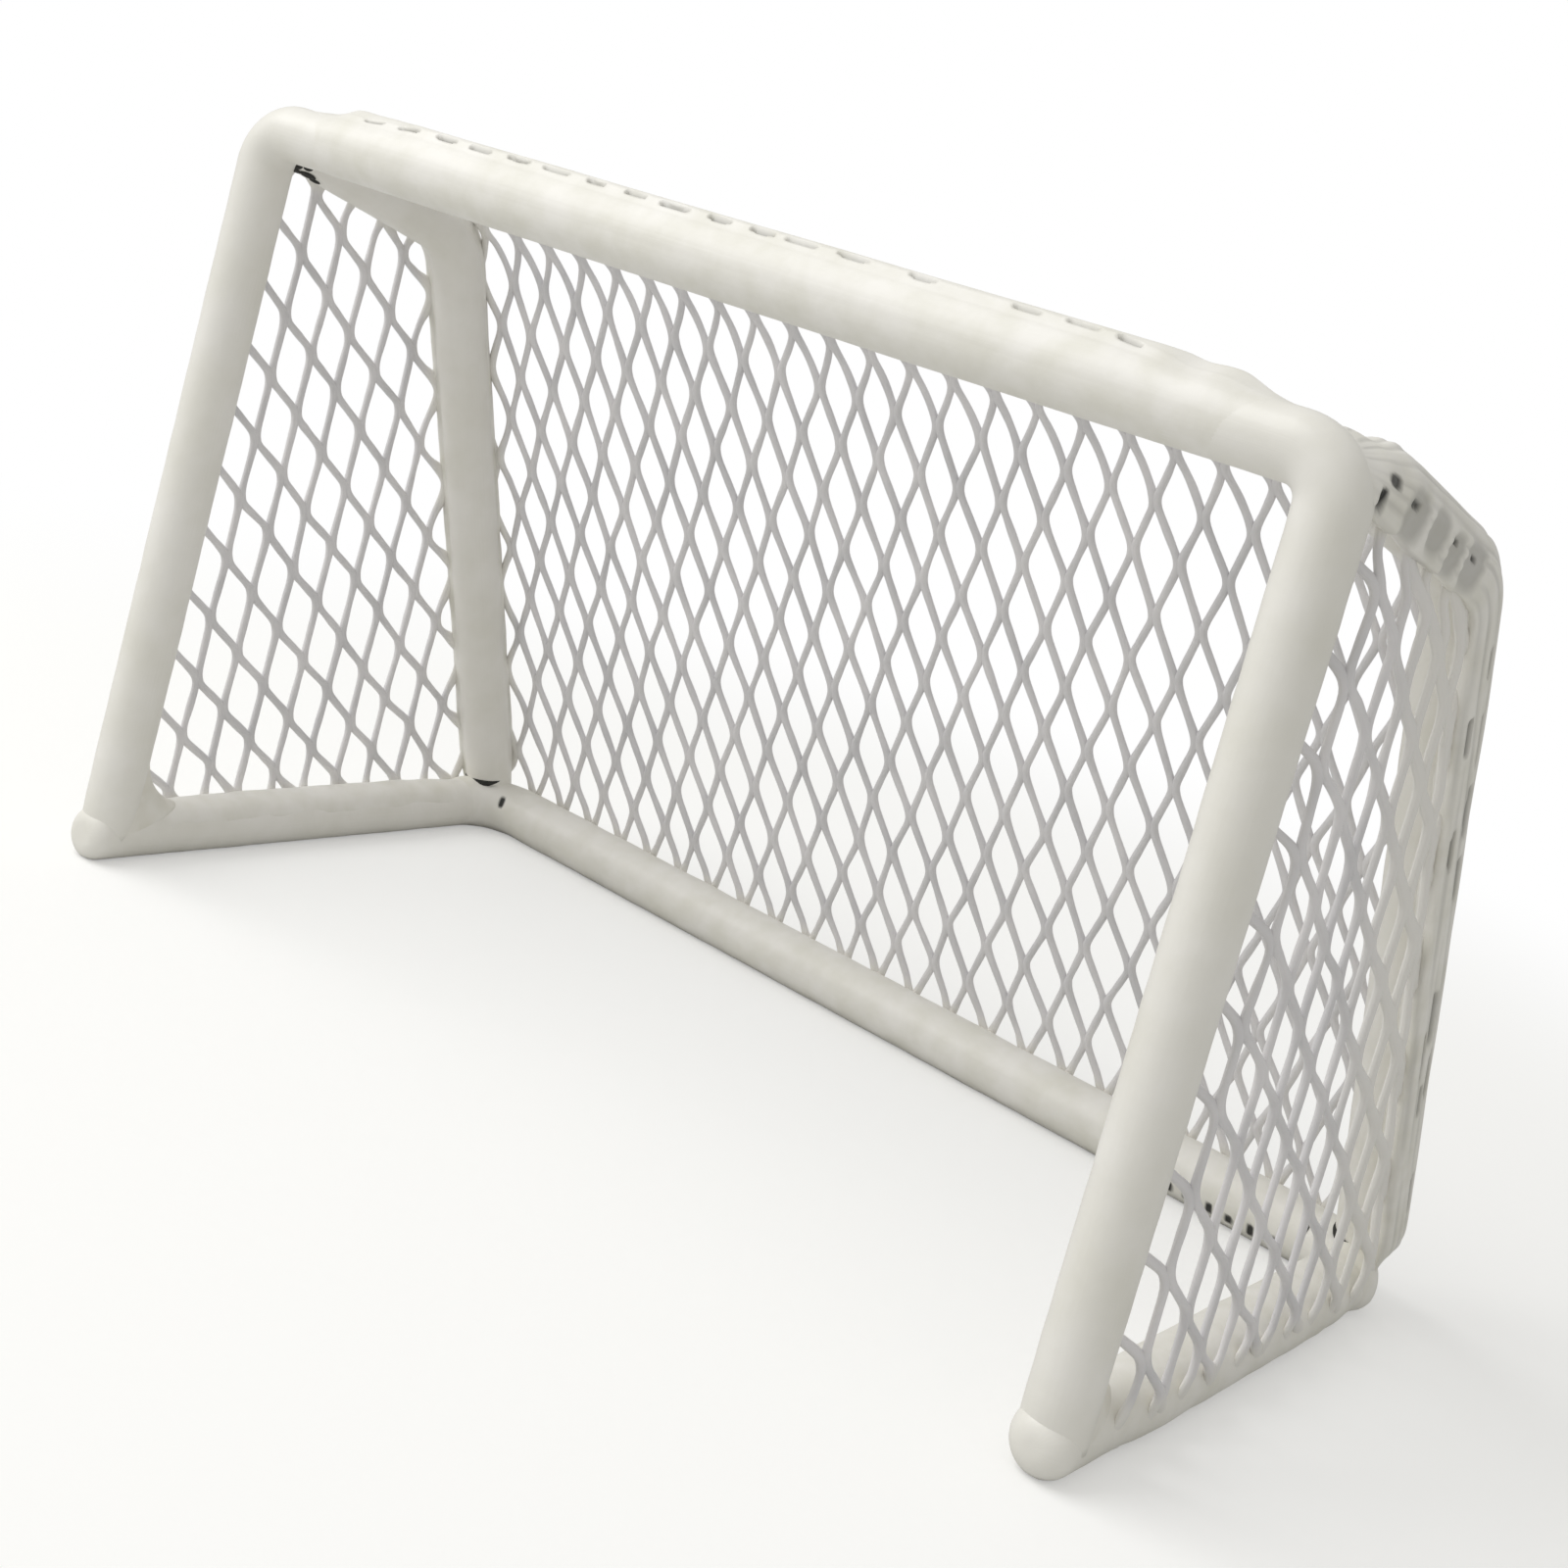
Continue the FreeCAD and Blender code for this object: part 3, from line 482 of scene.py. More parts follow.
base_path = bent_path([(-POST_X, NOSE_Y, RAIL_Z), (-POST_X, BASE_Y, RAIL_Z),
                       (POST_X, BASE_Y, RAIL_Z), (POST_X, NOSE_Y, RAIL_Z)], BASE_BEND)
left_nose, left_radius = nose(-POST_X, LEFT_ROUND)
right_nose, right_radius = nose(POST_X, RIGHT_ROUND)
inner = base_path[base_path[:, 1] > NOSE_Y + NOSE_LONG]
base_path = np.concatenate([left_nose, inner, right_nose[::-1]])
base_radius = np.concatenate([left_radius, np.full(len(inner), BAR_R), right_radius[::-1]])
base_bar = bar("base_bar", "base_frame", base_path, (0, 0, 1), 23, base_radius[:, None])
places = np.empty(len(base_bar.data.vertices) * 3)
base_bar.data.vertices.foreach_get("co", places)
places[2::3] = np.maximum(places[2::3], 0)
base_bar.data.vertices.foreach_set("co", places)

# %% [markdown]
# ## Where a bar runs into another bar's bend
# At the rear corners and at the top front corners a straight bar ends at another bar's bend,
# which turns away from it. Left alone, the bar's end would stick out of the bend as a sharp
# heel. A boolean cut gives a hard edge there, but the real joint is filed and painted smooth. So
# the bar's radius is held under a limit that grows out of the bend's outline.


# %% The limit of a bar near a bend
def fairing(q, turn, bend, reach):
    """The most radius that a bar has where it runs into the outside of another bar's bend.

    Both bars have the radius BAR_R. From the corner point of the bent bar's axis, in the
    direction turn between its two outsides, its outline is r = sqrt(k**2 + (bend + BAR_R)**2
    - 2 * bend**2) - k away, with k = bend * (cos(turn) + sin(turn)). The limit goes evenly from
    r at q = 0 to 2 * BAR_R at q = reach along the other bar.
    """
    k = bend * (np.cos(turn) + np.sin(turn))
    outline = np.sqrt(k * k + (bend + BAR_R) ** 2 - 2 * bend ** 2) - k
    return outline + (2 * BAR_R - outline) * np.clip(q / reach, 0, 1)


SOFTNESS = 0.8 * MM


def soft_least(a, b):
    """The smooth minimum (a + b - sqrt((a - b)**2 + SOFTNESS**2)) / 2."""
    return (a + b - np.sqrt((a - b) ** 2 + SOFTNESS ** 2)) / 2


print("reach of a bend's outline mm: %.2f" % (fairing(0, np.pi / 4, BASE_BEND, 10 * MM) / MM))

# %% [markdown]
# ## The side bars
# Each side bar is a leaning upright that bends forward into a top rail. It stands on the rear
# bend of the base and butts against the front frame. Both ends are inside the other bars, so no
# cap shows. Near a bend the bar also stays a little under its skin of paint, or the two surfaces
# would flicker through each other.

# %% Side bars: leaning uprights that bend forward into top rails
TOP_FAIR, FOOT_FAIR = 13.0 * MM, 10.5 * MM
SEAT_Z = RAIL_Z + 2.9 * MM
BUTT_BACK = 2.6 * MM
UNDER_SKIN, NEAR_BEND = 0.1 * MM, 6 * MM
back_run = BASE_Y - TOP_Y
back_rise = REAR_HIGH - RAIL_Z
LEAN = math.atan2(back_run, back_rise)
SLOPE = math.atan2(BAR_Z - REAR_HIGH, TOP_DEEP)
for side, sign in SIDES:
    foot_share = (SEAT_Z - RAIL_Z) / back_rise
    tip_share = 1 - BUTT_BACK / TOP_DEEP
    foot = (sign * POST_X, BASE_Y - back_run * foot_share, SEAT_Z)
    tip = (sign * POST_X, TOP_Y - TOP_DEEP * tip_share, REAR_HIGH + (BAR_Z - REAR_HIGH) * tip_share)
    path = bent_path([foot, (sign * POST_X, TOP_Y, REAR_HIGH), tip], SIDE_BEND)
    along = lengths(path)[:, None]
    outside = (TURNS if sign > 0 else np.pi - TURNS)[None, :]
    limit = np.minimum(fairing(along + (SEAT_Z - RAIL_Z), outside, BASE_BEND, FOOT_FAIR),
                       fairing(along[-1] - along + BUTT_BACK, outside, FRONT_BEND, TOP_FAIR))
    bar(side + "_side_bar", side + "_side_rod", path, (1, 0, 0), 31 + sign,
        soft_least(BAR_R, limit) - UNDER_SKIN * (limit < NEAR_BEND))

# %% [markdown]
# ## The diamond mesh
# The mesh is made of strands that zigzag down the panel. Each strand touches its neighbour on
# one side, runs along with it for a short joint, parts, and touches its other neighbour in the
# next row. Two families of such strands, one a half row out of step with the other, make the
# tall six-sided meshes of the photograph. A sheet with an image of holes would look flat from the
# side, and a wireframe of one cell, repeated, would look too even. So paths are worked out flat,
# in u across and v up the panel, for all strands at once with a seeded unevenness, then bent into
# place.


# %% Joints of a mesh
class Lattice:
    """Where the joints of a mesh lie: one joint, the ways to its lower neighbours, and its length.

    The four pairs are given in millimetres and kept in metres.
    """

    def __init__(self, anchor, down_right, down_left, joint):
        self.anchor, self.right, self.left, self.joint = (
            np.array(vector) * MM for vector in (anchor, down_right, down_left, joint))


def averaged(values, times):
    """Values along strands after a running mean (a + 2 b + c) / 4 over neighbours, times over."""
    for _ in range(times):
        values[:, 1:-1] = (values[:, :-2] + 2 * values[:, 1:-1] + values[:, 2:]) / 4
    return values


print("a running mean of 0, 4, 0:", averaged(np.array([[0.0, 4.0, 0.0]]), 1)[0])

# %% [markdown]
# A real mesh was cut and stretched, so its joints are a little out of place. Both strands of a
# joint have to be out of place by the same, or they would part. So the stray is drawn once for
# each joint of the whole panel, and both families look it up.

# %% Flat paths of all strands of a panel
JOINT_HALF = 0.22 * MM
JITTER = 0.16 * MM
SAMPLES = 12
JOINT_SHARE, THICK_SHARE = 0.2, 0.25
MOST_COLUMNS, MOST_ROWS = 60, 30


def strand_paths(lattice, low, high, seed):
    """Flat paths (strands, samples, 2) of both families, and how near each sample is to a joint.

    The third result says which samples lie between low and high.

    Row n of a strand of family right is anchor + column * (right - left) + (n // 2) * (right +
    left) + (n % 2) * right. It passes the joint's top, then its end. The strand keeps half a
    strand's width to its own side of the joint, and turns round between rows. The corners are
    rounded by a running mean over neighbouring samples.
    """
    pitch = lattice.right - lattice.left
    pair = lattice.right + lattice.left
    columns = np.arange(-MOST_COLUMNS, MOST_COLUMNS + 1)
    rows = np.arange(-MOST_ROWS, MOST_ROWS + 1)
    random = np.random.default_rng(seed)
    shift = random.normal(0, JITTER, (len(rows), 2 * len(columns) + 4, 2))
    paths, nearness = [], []
    for family, vector in ((1, lattice.right), (-1, lattice.left)):
        joints = (lattice.anchor + columns[:, None, None] * pitch
                  + (rows // 2)[None, :, None] * pair + (rows % 2)[None, :, None] * vector)
        slot = np.round((joints - lattice.anchor - rows[None, :, None] * pair / 2)[..., 0]
                        / (pitch[0] / 2)).astype(int) + len(columns)
        moved = joints + shift[np.arange(len(rows))[None, :], slot % shift.shape[1]]
        own_side = family * np.where(rows % 2 == 0, 1, -1) * JOINT_HALF
        moved[..., 0] += own_side[None, :]
        tops, ends = moved, moved + lattice.joint
        share = np.linspace(0, 1, SAMPLES, endpoint=False)
        on_joint = np.clip(share / JOINT_SHARE, 0, 1)[None, None, :, None]
        run = np.clip((share - JOINT_SHARE) / (1 - JOINT_SHARE), 0, 1)[None, None, :, None]
        points = (tops[:, :-1, None] * (1 - on_joint) + ends[:, :-1, None] * on_joint)
        points = points * (1 - run) + tops[:, 1:, None] * run
        paths.append(points.reshape(len(columns), -1, 2))
        beside = (share < THICK_SHARE).astype(float)
        nearness.append(np.tile(beside, (len(columns), len(rows) - 1)))
    path = averaged(np.concatenate(paths), 2)
    joint = averaged(np.concatenate(nearness), 2)
    wanted = ((path > low) & (path < high)).all(-1)
    used = wanted.any(1)
    first, last = np.nonzero(wanted.any(0))[0][[0, -1]]
    return tuple(values[used, first:last + 1] for values in (path, joint, wanted))


sample = strand_paths(Lattice((0, 0), (4, -8), (-4, -8), (0, -1)), (-0.02, -0.02), (0.02, 0.02), 0)
print("a sample panel: %d strands of %d points" % sample[0].shape[:2])

# %% [markdown]
# ## Strands and the paint of the bars
# A strand that lies on a bar is pressed into its wet paint and took more of it, so it is webbed
# and whiter there. Painting that by hand would have to be done again after each change. So every
# strand point looks for the nearest bar axis, moves a little towards it, and gets a mark from 0
# to 1 that widens the strand and changes its colour.

# %% Strands pressed into the paint of the bars
PAINT_REACH, PAINT_RISE = 6.2 * MM, 1.4 * MM
PRESSED = 0.35 * MM
rear_top = (TOP_Y, REAR_HIGH)
AXES = np.array([[(-POST_X, GOAL_Y, BAR_Z), (POST_X, GOAL_Y, BAR_Z)],
                 [(-POST_X, BASE_Y, RAIL_Z), (POST_X, BASE_Y, RAIL_Z)]]
                + [[(x, *start), (x, *end)] for x in (-POST_X, POST_X) for start, end in (
                    ((GOAL_Y, RAIL_Z), (BASE_Y, RAIL_Z)), ((BASE_Y, RAIL_Z), rear_top),
                    (rear_top, (GOAL_Y, BAR_Z)))])


def press_on(points):
    """Strand points pressed into the paint of a bar that they lie on, and a mark from 0 to 1.

    For each bar axis from a to b, the nearest axis point is a + clip(t, 0, 1) * (b - a). The
    mark rises from 0 to 1 as the distance falls from PAINT_REACH by PAINT_RISE, and the point
    moves towards the axis by PRESSED times the mark.
    """
    mark = np.zeros(points.shape[:-1])
    shift = np.zeros(points.shape)
    for a, b in AXES:
        t = np.clip((points - a) @ (b - a) / ((b - a) @ (b - a)), 0, 1)
        away = points - a - t[..., None] * (b - a)
        distance = np.linalg.norm(away, axis=-1)
        near = smooth((PAINT_REACH - distance) / PAINT_RISE)
        stronger = near > mark
        mark = np.where(stronger, near, mark)
        inwards = -away / distance[..., None] * near[..., None] * PRESSED
        shift = np.where(stronger[..., None], inwards, shift)
    return points + shift, mark


print("bars that strands lie on:", len(AXES))

# %% [markdown]
# ## Strands as tubes
# Each strand is a thin tube, a little wider than deep. A curve object for each would be slow to
# handle, so one mesh object holds a whole panel, and eight points round a strand are enough at
# this size. Where two strands run together, their tubes overlap and swell like wires under a
# shared coat.

# %% Strands as tubes
STRAND_W, STRAND_D = 0.52 * MM, 0.48 * MM
STRAND_SIDES = 8
JOINT_WIDER, JOINT_DEEPER, STRAND_UNEVEN = 0.2, 0.18, 0.10


def strands(name, points, normals, joint, keep, seed, width=1.0, web=0.25, paint=0.0):
    """Tubes along strand paths, a little thicker at the joints and webbed where paint is thick.

    web is how much wider the paint of a bar makes a strand that lies on it. paint from 0 to 1
    is how much of the bars' thick paint a strand took, away from the bars too.
    """
    random = np.random.default_rng(seed)
    uneven = STRAND_UNEVEN * averaged(random.normal(0, 1, joint.shape), 3)
    points, mark = press_on(points)
    mark = np.maximum(mark, paint)
    wide = width * STRAND_W * (1 + JOINT_WIDER * joint + uneven + web * mark)
    deep = STRAND_D * (1 + JOINT_DEEPER * joint + uneven)
    tangent = unit(np.gradient(points, axis=-2))
    side_way = unit(np.cross(normals, tangent))
    rings = around(points, side_way, STRAND_SIDES, wide[..., None], deep[..., None])
    piece = ring_mesh(name, rings, keep)
    marks = np.repeat(mark[keep], STRAND_SIDES)
    piece.data.attributes.new("paint", "FLOAT", "POINT").data.foreach_set("value", marks)
    piece.data.materials.append(MESH_ENAMEL)
    print(name, "strands", len(points), "faces", len(piece.data.polygons))
    return piece


print("strand mm: %.2f wide, %.2f deep" % (2 * STRAND_W / MM, 2 * STRAND_D / MM))

# %% [markdown]
# ## Strands at the rear corners
# At the foot of each upright the bars are filed round, but the flat panels go straight on, and
# their last strands would hang in the air beside the corner. Cutting them all off would leave a
# bare patch. So the strands beside the foot are drawn onto its rounded outline, and only what is
# beyond the base's bend is left out.

# %% Strands round the rear feet
BACK_UP = np.array([0, -math.sin(LEAN), math.cos(LEAN)])
BACK_OUT = np.array([0, math.cos(LEAN), math.sin(LEAN)])
FOOT_OVER, FOOT_FADE, FOOT_REACH = 0.3 * MM, 6 * MM, 9 * MM
DIAGONAL_FADE = 0.4
BELOW_RAIL = 0.5 * MM


def round_feet(points):
    """Strand points moved onto the rounded foot of the upright that they would hang outside of.

    A point is given by its height q along the upright's axis, and by its distance r and turn
    from that axis. Where r is more than fairing(q, turn) + FOOT_OVER, it shrinks to that, by a
    share that fades with height and away from the diagonal between the foot's two outsides.
    """
    for sign in (-1, 1):
        away = points - (sign * POST_X, BASE_Y, RAIL_Z)
        q = away @ BACK_UP
        radial = away - q[..., None] * BACK_UP
        r = np.linalg.norm(radial, axis=-1)
        turn = np.arctan2(radial @ BACK_OUT, sign * radial[..., 0])
        limit = fairing(q, turn, BASE_BEND, FOOT_FAIR) + FOOT_OVER
        low_down = np.clip((FOOT_FAIR - q) / FOOT_FADE, 0, 1)
        diagonal = np.clip(np.cos(turn - np.pi / 4) / DIAGONAL_FADE, 0, 1)
        share = smooth(low_down * diagonal) * (r < FOOT_REACH)
        points = points - radial * (share * np.maximum(1 - limit / r, 0))[..., None]
    return points


def off_corner(points):
    """False where a strand would hang in the air outside a rounded rear corner of the base."""
    beyond = (np.abs(points[..., 0]) > POST_X - BASE_BEND) & (points[..., 1] > BASE_Y - BASE_BEND)
    return ~(beyond & (points[..., 2] < RAIL_Z - BELOW_RAIL))


print("lean of the uprights: %.1f degrees" % math.degrees(LEAN))

# %% [markdown]
# ## Back, shoulder and roof in one sheet
# Seen from the side, the sheet comes up from the rear base bar, bends round the side bars' bends
# and runs forward to the crossbar, where it folds round the bar. A curve modifier could bend a
# flat mesh like that, but it would be hard to say where a strand touches a bar. Here the profile
# is a table of points and outward directions along its own length, and v is looked up in it.

# %% Directions of the back and the roof
NET_MID = 4.5 * MM
ROOF_UP = np.array([0, -math.cos(SLOPE), math.sin(SLOPE)])
ROOF_OUT = np.array([0, math.sin(SLOPE), math.cos(SLOPE)])
SHOULDER = math.acos(BACK_OUT @ ROOF_OUT)
SETBACK = SIDE_BEND * math.tan(SHOULDER / 2)
roof_long = math.hypot(TOP_DEEP, BAR_Z - REAR_HIGH) - SETBACK
ACROSS = np.array([1.0, 0, 0])
print("length of the roof's straight part: %.1f mm" % (roof_long / MM))


# %% Points of the sheet's profile
def turned(first, second, angle):
    """The direction that is angle round from first towards second."""
    return np.cos(angle)[:, None] * first + np.sin(angle)[:, None] * second


def arc_piece(centre, first, second, angles, radius):
    """Points and outward directions of an arc."""
    out = turned(first, second, angles)
    return centre + np.broadcast_to(radius, angles.shape)[:, None] * out, out


base_axis = np.array([0, BASE_Y, RAIL_Z])
corner = np.array([0, TOP_Y, REAR_HIGH])
bar_axis = np.array([0, GOAL_Y, BAR_Z])
bend_centre = corner - unit(BACK_OUT + ROOF_OUT) * SIDE_BEND / math.cos(SHOULDER / 2)
back_right_angle = np.cross(ACROSS, BACK_OUT)
roof_right_angle = np.cross(ACROSS, ROOF_OUT)
SINK = 0.5 * MM
FOLD_POINTS = 9
fold_share = np.linspace(0, 1, FOLD_POINTS)
under, under_out = arc_piece(base_axis, BACK_OUT, back_right_angle,
                             np.radians(np.linspace(-42, -3, FOLD_POINTS)),
                             NET_MID - SINK * (1 - fold_share))
bend, bend_out = arc_piece(bend_centre, BACK_OUT, back_right_angle,
                           np.linspace(0, SHOULDER, 25), SIDE_BEND + NET_MID)
over, over_out = arc_piece(bar_axis, ROOF_OUT, roof_right_angle,
                           np.radians(np.linspace(3, 30, FOLD_POINTS)),
                           NET_MID - SINK * fold_share)
roof_end = bar_axis + ROOF_OUT * NET_MID
profile = np.concatenate([under, [base_axis + BACK_OUT * NET_MID], bend, [roof_end], over])
profile_out = np.concatenate([under_out, [BACK_OUT], bend_out, [ROOF_OUT], over_out])
profile_v = lengths(profile)
profile_v -= profile_v[len(under)]
print("sheet length mm %.1f, from %.1f to %.1f" % (np.ptp(profile_v) / MM, profile_v[0] / MM,
                                                  profile_v[-1] / MM))


# %% From flat points to the sheet
def on_sheet(uv):
    """Place and outward direction of flat points (u, v) on the sheet, u from left to right."""
    u, v = uv[..., 0], uv[..., 1]
    place, out = (np.stack([across, *(np.interp(v, profile_v, table[:, k]) for k in (1, 2))], -1)
                  for across, table in ((u, profile), (0 * u, profile_out)))
    return place, unit(out)


print("middle of the sheet mm:", np.round(on_sheet(np.zeros(2))[0] / MM, 1).tolist())

# %% [markdown]
# ## The sheet's strands
# The sheet is a little wider than the goal: its edges are folded round the side bars, and the
# crossbar's paint hides its front edge. Ending the strands at the bars would show their cut ends.
# So the strands go on round each bar with a slowly shrinking radius, until the paint swallows
# them. Near the two bends of the crossbar they dive deeper, because the bar turns away there.

# %% Folding the sheet round the side bars
BACK_LATTICE = Lattice((0.0, 40.0), (3.8, -7.75), (-2.8, -7.75), (0.1, -1.1))
WRAP_ANGLE = math.radians(40)


def wrap_sides(place, out, u):
    """Bend what lies beyond the side bars' axes round them.

    Beyond the axis by d, a point turns by a = d / NET_MID from the sheet's outward direction to
    the side: place = axis + r * (cos(a) * out + sin(a) * side), with r sinking into the paint.
    """
    beyond = np.maximum(np.abs(u) - POST_X, 0)
    a = (beyond / NET_MID)[..., None]
    r = NET_MID - SINK * a / WRAP_ANGLE
    side = np.sign(u)[..., None] * ACROSS
    axis = place - NET_MID * out
    axis[..., 0] = np.clip(u, -POST_X, POST_X)
    new_out = np.cos(a) * out + np.sin(a) * side
    return axis + r * new_out, new_out


print("the sheet reaches %.1f mm beyond the side bars' axes" % (WRAP_ANGLE * NET_MID / MM))

# %% [markdown]
# What follows is the same for every panel: flat paths, then their place in space, then what is
# kept. The dive near the crossbar's ends is a depth that grows towards the end of the bar and
# towards the bar itself.

# %% Strands of the sheet
END_LONG, CORNER_LONG, END_RAMP = 20 * MM, 9 * MM, 6 * MM
NEAR_BAR, BAR_RAMP = 10 * MM, 8 * MM
ROOF_DIVE, CORNER_DIVE = 1.4 * MM, 1.0 * MM
CUT_LONG, CUT_BACK, CORNER_CUT, CUT_RAMP = 15 * MM, 1.0 * MM, 5.0 * MM, 5 * MM
sheet_wide = POST_X + WRAP_ANGLE * NET_MID
uv, joint, keep = strand_paths(BACK_LATTICE, (-sheet_wide, profile_v[0]),
                               (sheet_wide, profile_v[-1]), 5)
place, out = on_sheet(uv)
place, out = wrap_sides(place, out, uv[..., 0])
place = round_feet(place)
from_end = POST_X - np.abs(uv[..., 0])
near_bar = smooth((GOAL_Y + NEAR_BAR - place[..., 1]) / BAR_RAMP)
near_end = np.clip((END_LONG - from_end) / END_RAMP, 0, 1)
near_corner = np.clip((CORNER_LONG - from_end) / END_RAMP, 0, 1)
dive = near_end * near_bar * (ROOF_DIVE + CORNER_DIVE * near_corner)
place = place - dive[..., None] * ROOF_OUT
clear_of_corner = CUT_BACK + CORNER_CUT * np.clip((CORNER_LONG - from_end) / CUT_RAMP, 0, 1)
keep &= (from_end > CUT_LONG) | (place[..., 1] > GOAL_Y + clear_of_corner)
keep &= off_corner(place)
back_mesh = strands("back_and_roof_mesh", place, out, joint, keep, 6)
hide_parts("back_net", "shoulder_net", "roof_net")

# %% [markdown]
# ## The side panels
# A side panel lies in one plane outside the bars. Its outline is the bars' axes. A panel cut off
# at that outline would end in a hard line. Instead, beyond an axis the strands turn round that
# bar, and near the post they dive into the paint of the post, whose outside stays smooth.

# %% Outline of a side panel and its wraps
bend_points = bend_centre[1:] + SIDE_BEND * turned(BACK_OUT, back_right_angle,
                                                   np.linspace(0, SHOULDER, 5))[:, 1:]
outline = np.concatenate([[(GOAL_Y, RAIL_Z), (BASE_Y, RAIL_Z)], bend_points, [(GOAL_Y, BAR_Z)]])
edge_along = unit(np.roll(outline, -1, 0) - outline)
edge_out = np.stack([edge_along[:, 1], -edge_along[:, 0]], 1)
BOTTOM, UPRIGHT, POST_EDGE = 0, 1, len(outline) - 1
SIDE_LATTICE = Lattice((0.0, 50.0), (6.6, -5.26), (0.0, -9.1), (0.6, -1.4))
MOST_WRAP = np.full(len(outline), math.radians(16))
MOST_WRAP[BOTTOM] = math.radians(42)
print("corners of the outline:", len(outline))

# %% [markdown]
# The distance of each point beyond every edge tells which bar it passes, because the greatest one
# counts. Turning round that bar then follows the same formula as for the sheet.

# %% Strands of a side panel
PANEL_MARGIN = 8 * MM
POST_CUT, DIVE, POST_SINK = 2.0 * MM, 7.0 * MM, 3.4 * MM
OVER_GROUND = 0.9 * MM
SINK_LONG = 3.8 * MM
PAINTED_LONG, PAINTED_FADE = 27 * MM, 12 * MM
SIDE_WIDTH, SIDE_WEB = 1.12, 0.7


def side_strands(name, node, sign, seed, start, depth, stop):
    """Strands of a side panel, on its plane or turned round the bar that they pass.

    Towards each bar the strands sink into its paint. With e the share of SINK_LONG that a point
    is beyond start from the bar's axis, it sinks depth * smooth(e). start and depth hold one
    value for each edge. stop is how far beyond the upright's or the rail's axis a strand
    reaches before the paint hides it. On the right the strands near the upright took more paint.
    """
    low, high = outline.min(0) - PANEL_MARGIN, outline.max(0) + PANEL_MARGIN
    yz, joint, keep = strand_paths(SIDE_LATTICE, low, high, seed)
    beyond = ((yz[..., None, :] - outline) * edge_out).sum(-1)
    beyond[..., POST_EDGE] = -1
    edge = beyond.argmax(-1)
    most = beyond.max(-1)
    over = np.maximum(most, 0)
    a = over / NET_MID
    on_line = yz - over[..., None] * edge_out[edge]
    r = NET_MID - (smooth((beyond - start) / SINK_LONG) * depth).max(-1)
    out_x = np.cos(a)
    out_yz = np.sin(a)[..., None] * edge_out[edge]
    past_post = yz[..., 0] - GOAL_Y
    r = r - smooth((POST_CUT + DIVE - past_post) / DIVE) * POST_SINK
    y, z = np.moveaxis(on_line + r[..., None] * out_yz, -1, 0)
    place = round_feet(np.stack([sign * (POST_X + r * out_x), y, z], -1))
    out = unit(np.stack([sign * out_x, out_yz[..., 0], out_yz[..., 1]], -1))
    keep &= (a <= MOST_WRAP[edge]) & (past_post > POST_CUT) & off_corner(place)
    keep &= (place[..., 2] > OVER_GROUND) & ((edge == BOTTOM) | (most < stop))
    painted = np.clip((beyond[..., UPRIGHT] + PAINTED_LONG) / PAINTED_FADE, 0, 1) * (sign > 0)
    piece = strands(name, place, out, joint, keep, seed + 1, SIDE_WIDTH, SIDE_WEB, painted)
    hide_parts(node)


BOTTOM_START, BOTTOM_DEEP = -2.6 * MM, 0.75 * MM
START_DEEP_STOP = {"left": (-5.8 * MM, 0.8 * MM, 1.0 * MM), "right": (-9.0 * MM, 1.25 * MM, -3.4 * MM)}
at_bottom = np.arange(len(outline)) == BOTTOM
for side, sign in SIDES:
    start, deep, stop = START_DEEP_STOP[side]
    side_strands(side + "_side_mesh", side + "_side_net", sign, 40 + sign,
                 np.where(at_bottom, BOTTOM_START, start), np.where(at_bottom, BOTTOM_DEEP, deep), stop)

# %% [markdown]
# ## Clogged edges
# Where the mesh is folded round a bar, the paint has run in between the strands. What is left is
# a thick skin round part of the bar. The strands lie almost under it and only lift it into low
# ridges. Where a mesh didn't fill, a small dark gap is left. Sculpting could make that, but
# couldn't be repeated. So the skin is a height map round the bar: thickness by angle, faded out
# at every border, plus a seeded unevenness, less the gaps.

# %% Gaps in a skin
GAP_STRAY, LONG_STRAY, WIDE_STRAY = 0.3 * MM, 0.18, 0.15
SHALLOW = 0.33


def gap_row(first, last, pitch, turn, half_long, half_wide, share, level, seed, stray=3.0):
    """A row of gaps one pitch apart: each (along, turn, half length, half width, level).

    Some are left out, and each differs a little in place and size, by seeded chance. stray is
    how many degrees a gap lies off the row's turn, as a standard deviation.
    """
    random = np.random.default_rng(seed)
    along = np.arange(first, last, pitch)
    along = along[random.uniform(0, 1, len(along)) < share]
    vary = random.normal(0, 1, (len(along), 4))
    return np.stack([along * MM + GAP_STRAY * vary[:, 0], np.radians(turn + stray * vary[:, 1]),
                     half_long * MM * (1 + LONG_STRAY * vary[:, 2]),
                     half_wide * MM * (1 + WIDE_STRAY * vary[:, 3]), np.full(len(along), level)], 1)


def dig(gaps, s, angle):
    """How dark and how deep the gaps make each place (s, angle) of a skin, both from 0 to 1.

    inside = 1.5 - |x|**3 - |y|**3, cut to 0 and 1, with x and y in half sizes of the gap. The
    darkness is inside times the gap's level. The depth is the same, but SHALLOW times inside
    where the level is under a half.
    """
    dark, deep = np.zeros((2,) + np.broadcast_shapes(s.shape, angle.shape))
    for along, turn, half_long, half_wide, level in gaps:
        x = (s - along) / half_long
        y = (angle - turn) * BAR_R / half_wide
        inside = np.clip(1.5 - np.abs(x) ** 3 - np.abs(y) ** 3, 0, 1)
        dark = np.maximum(dark, inside * level)
        deep = np.maximum(deep, inside * (level if level > 0.5 else SHALLOW))
    return dark, deep


sample = gap_row(0, 30, 6, 10, 2.5, 0.3, 1.0, 1.0, 0)
print("a sample row:", len(sample), "gaps at mm", np.round(sample[:, 0] / MM, 1).tolist())

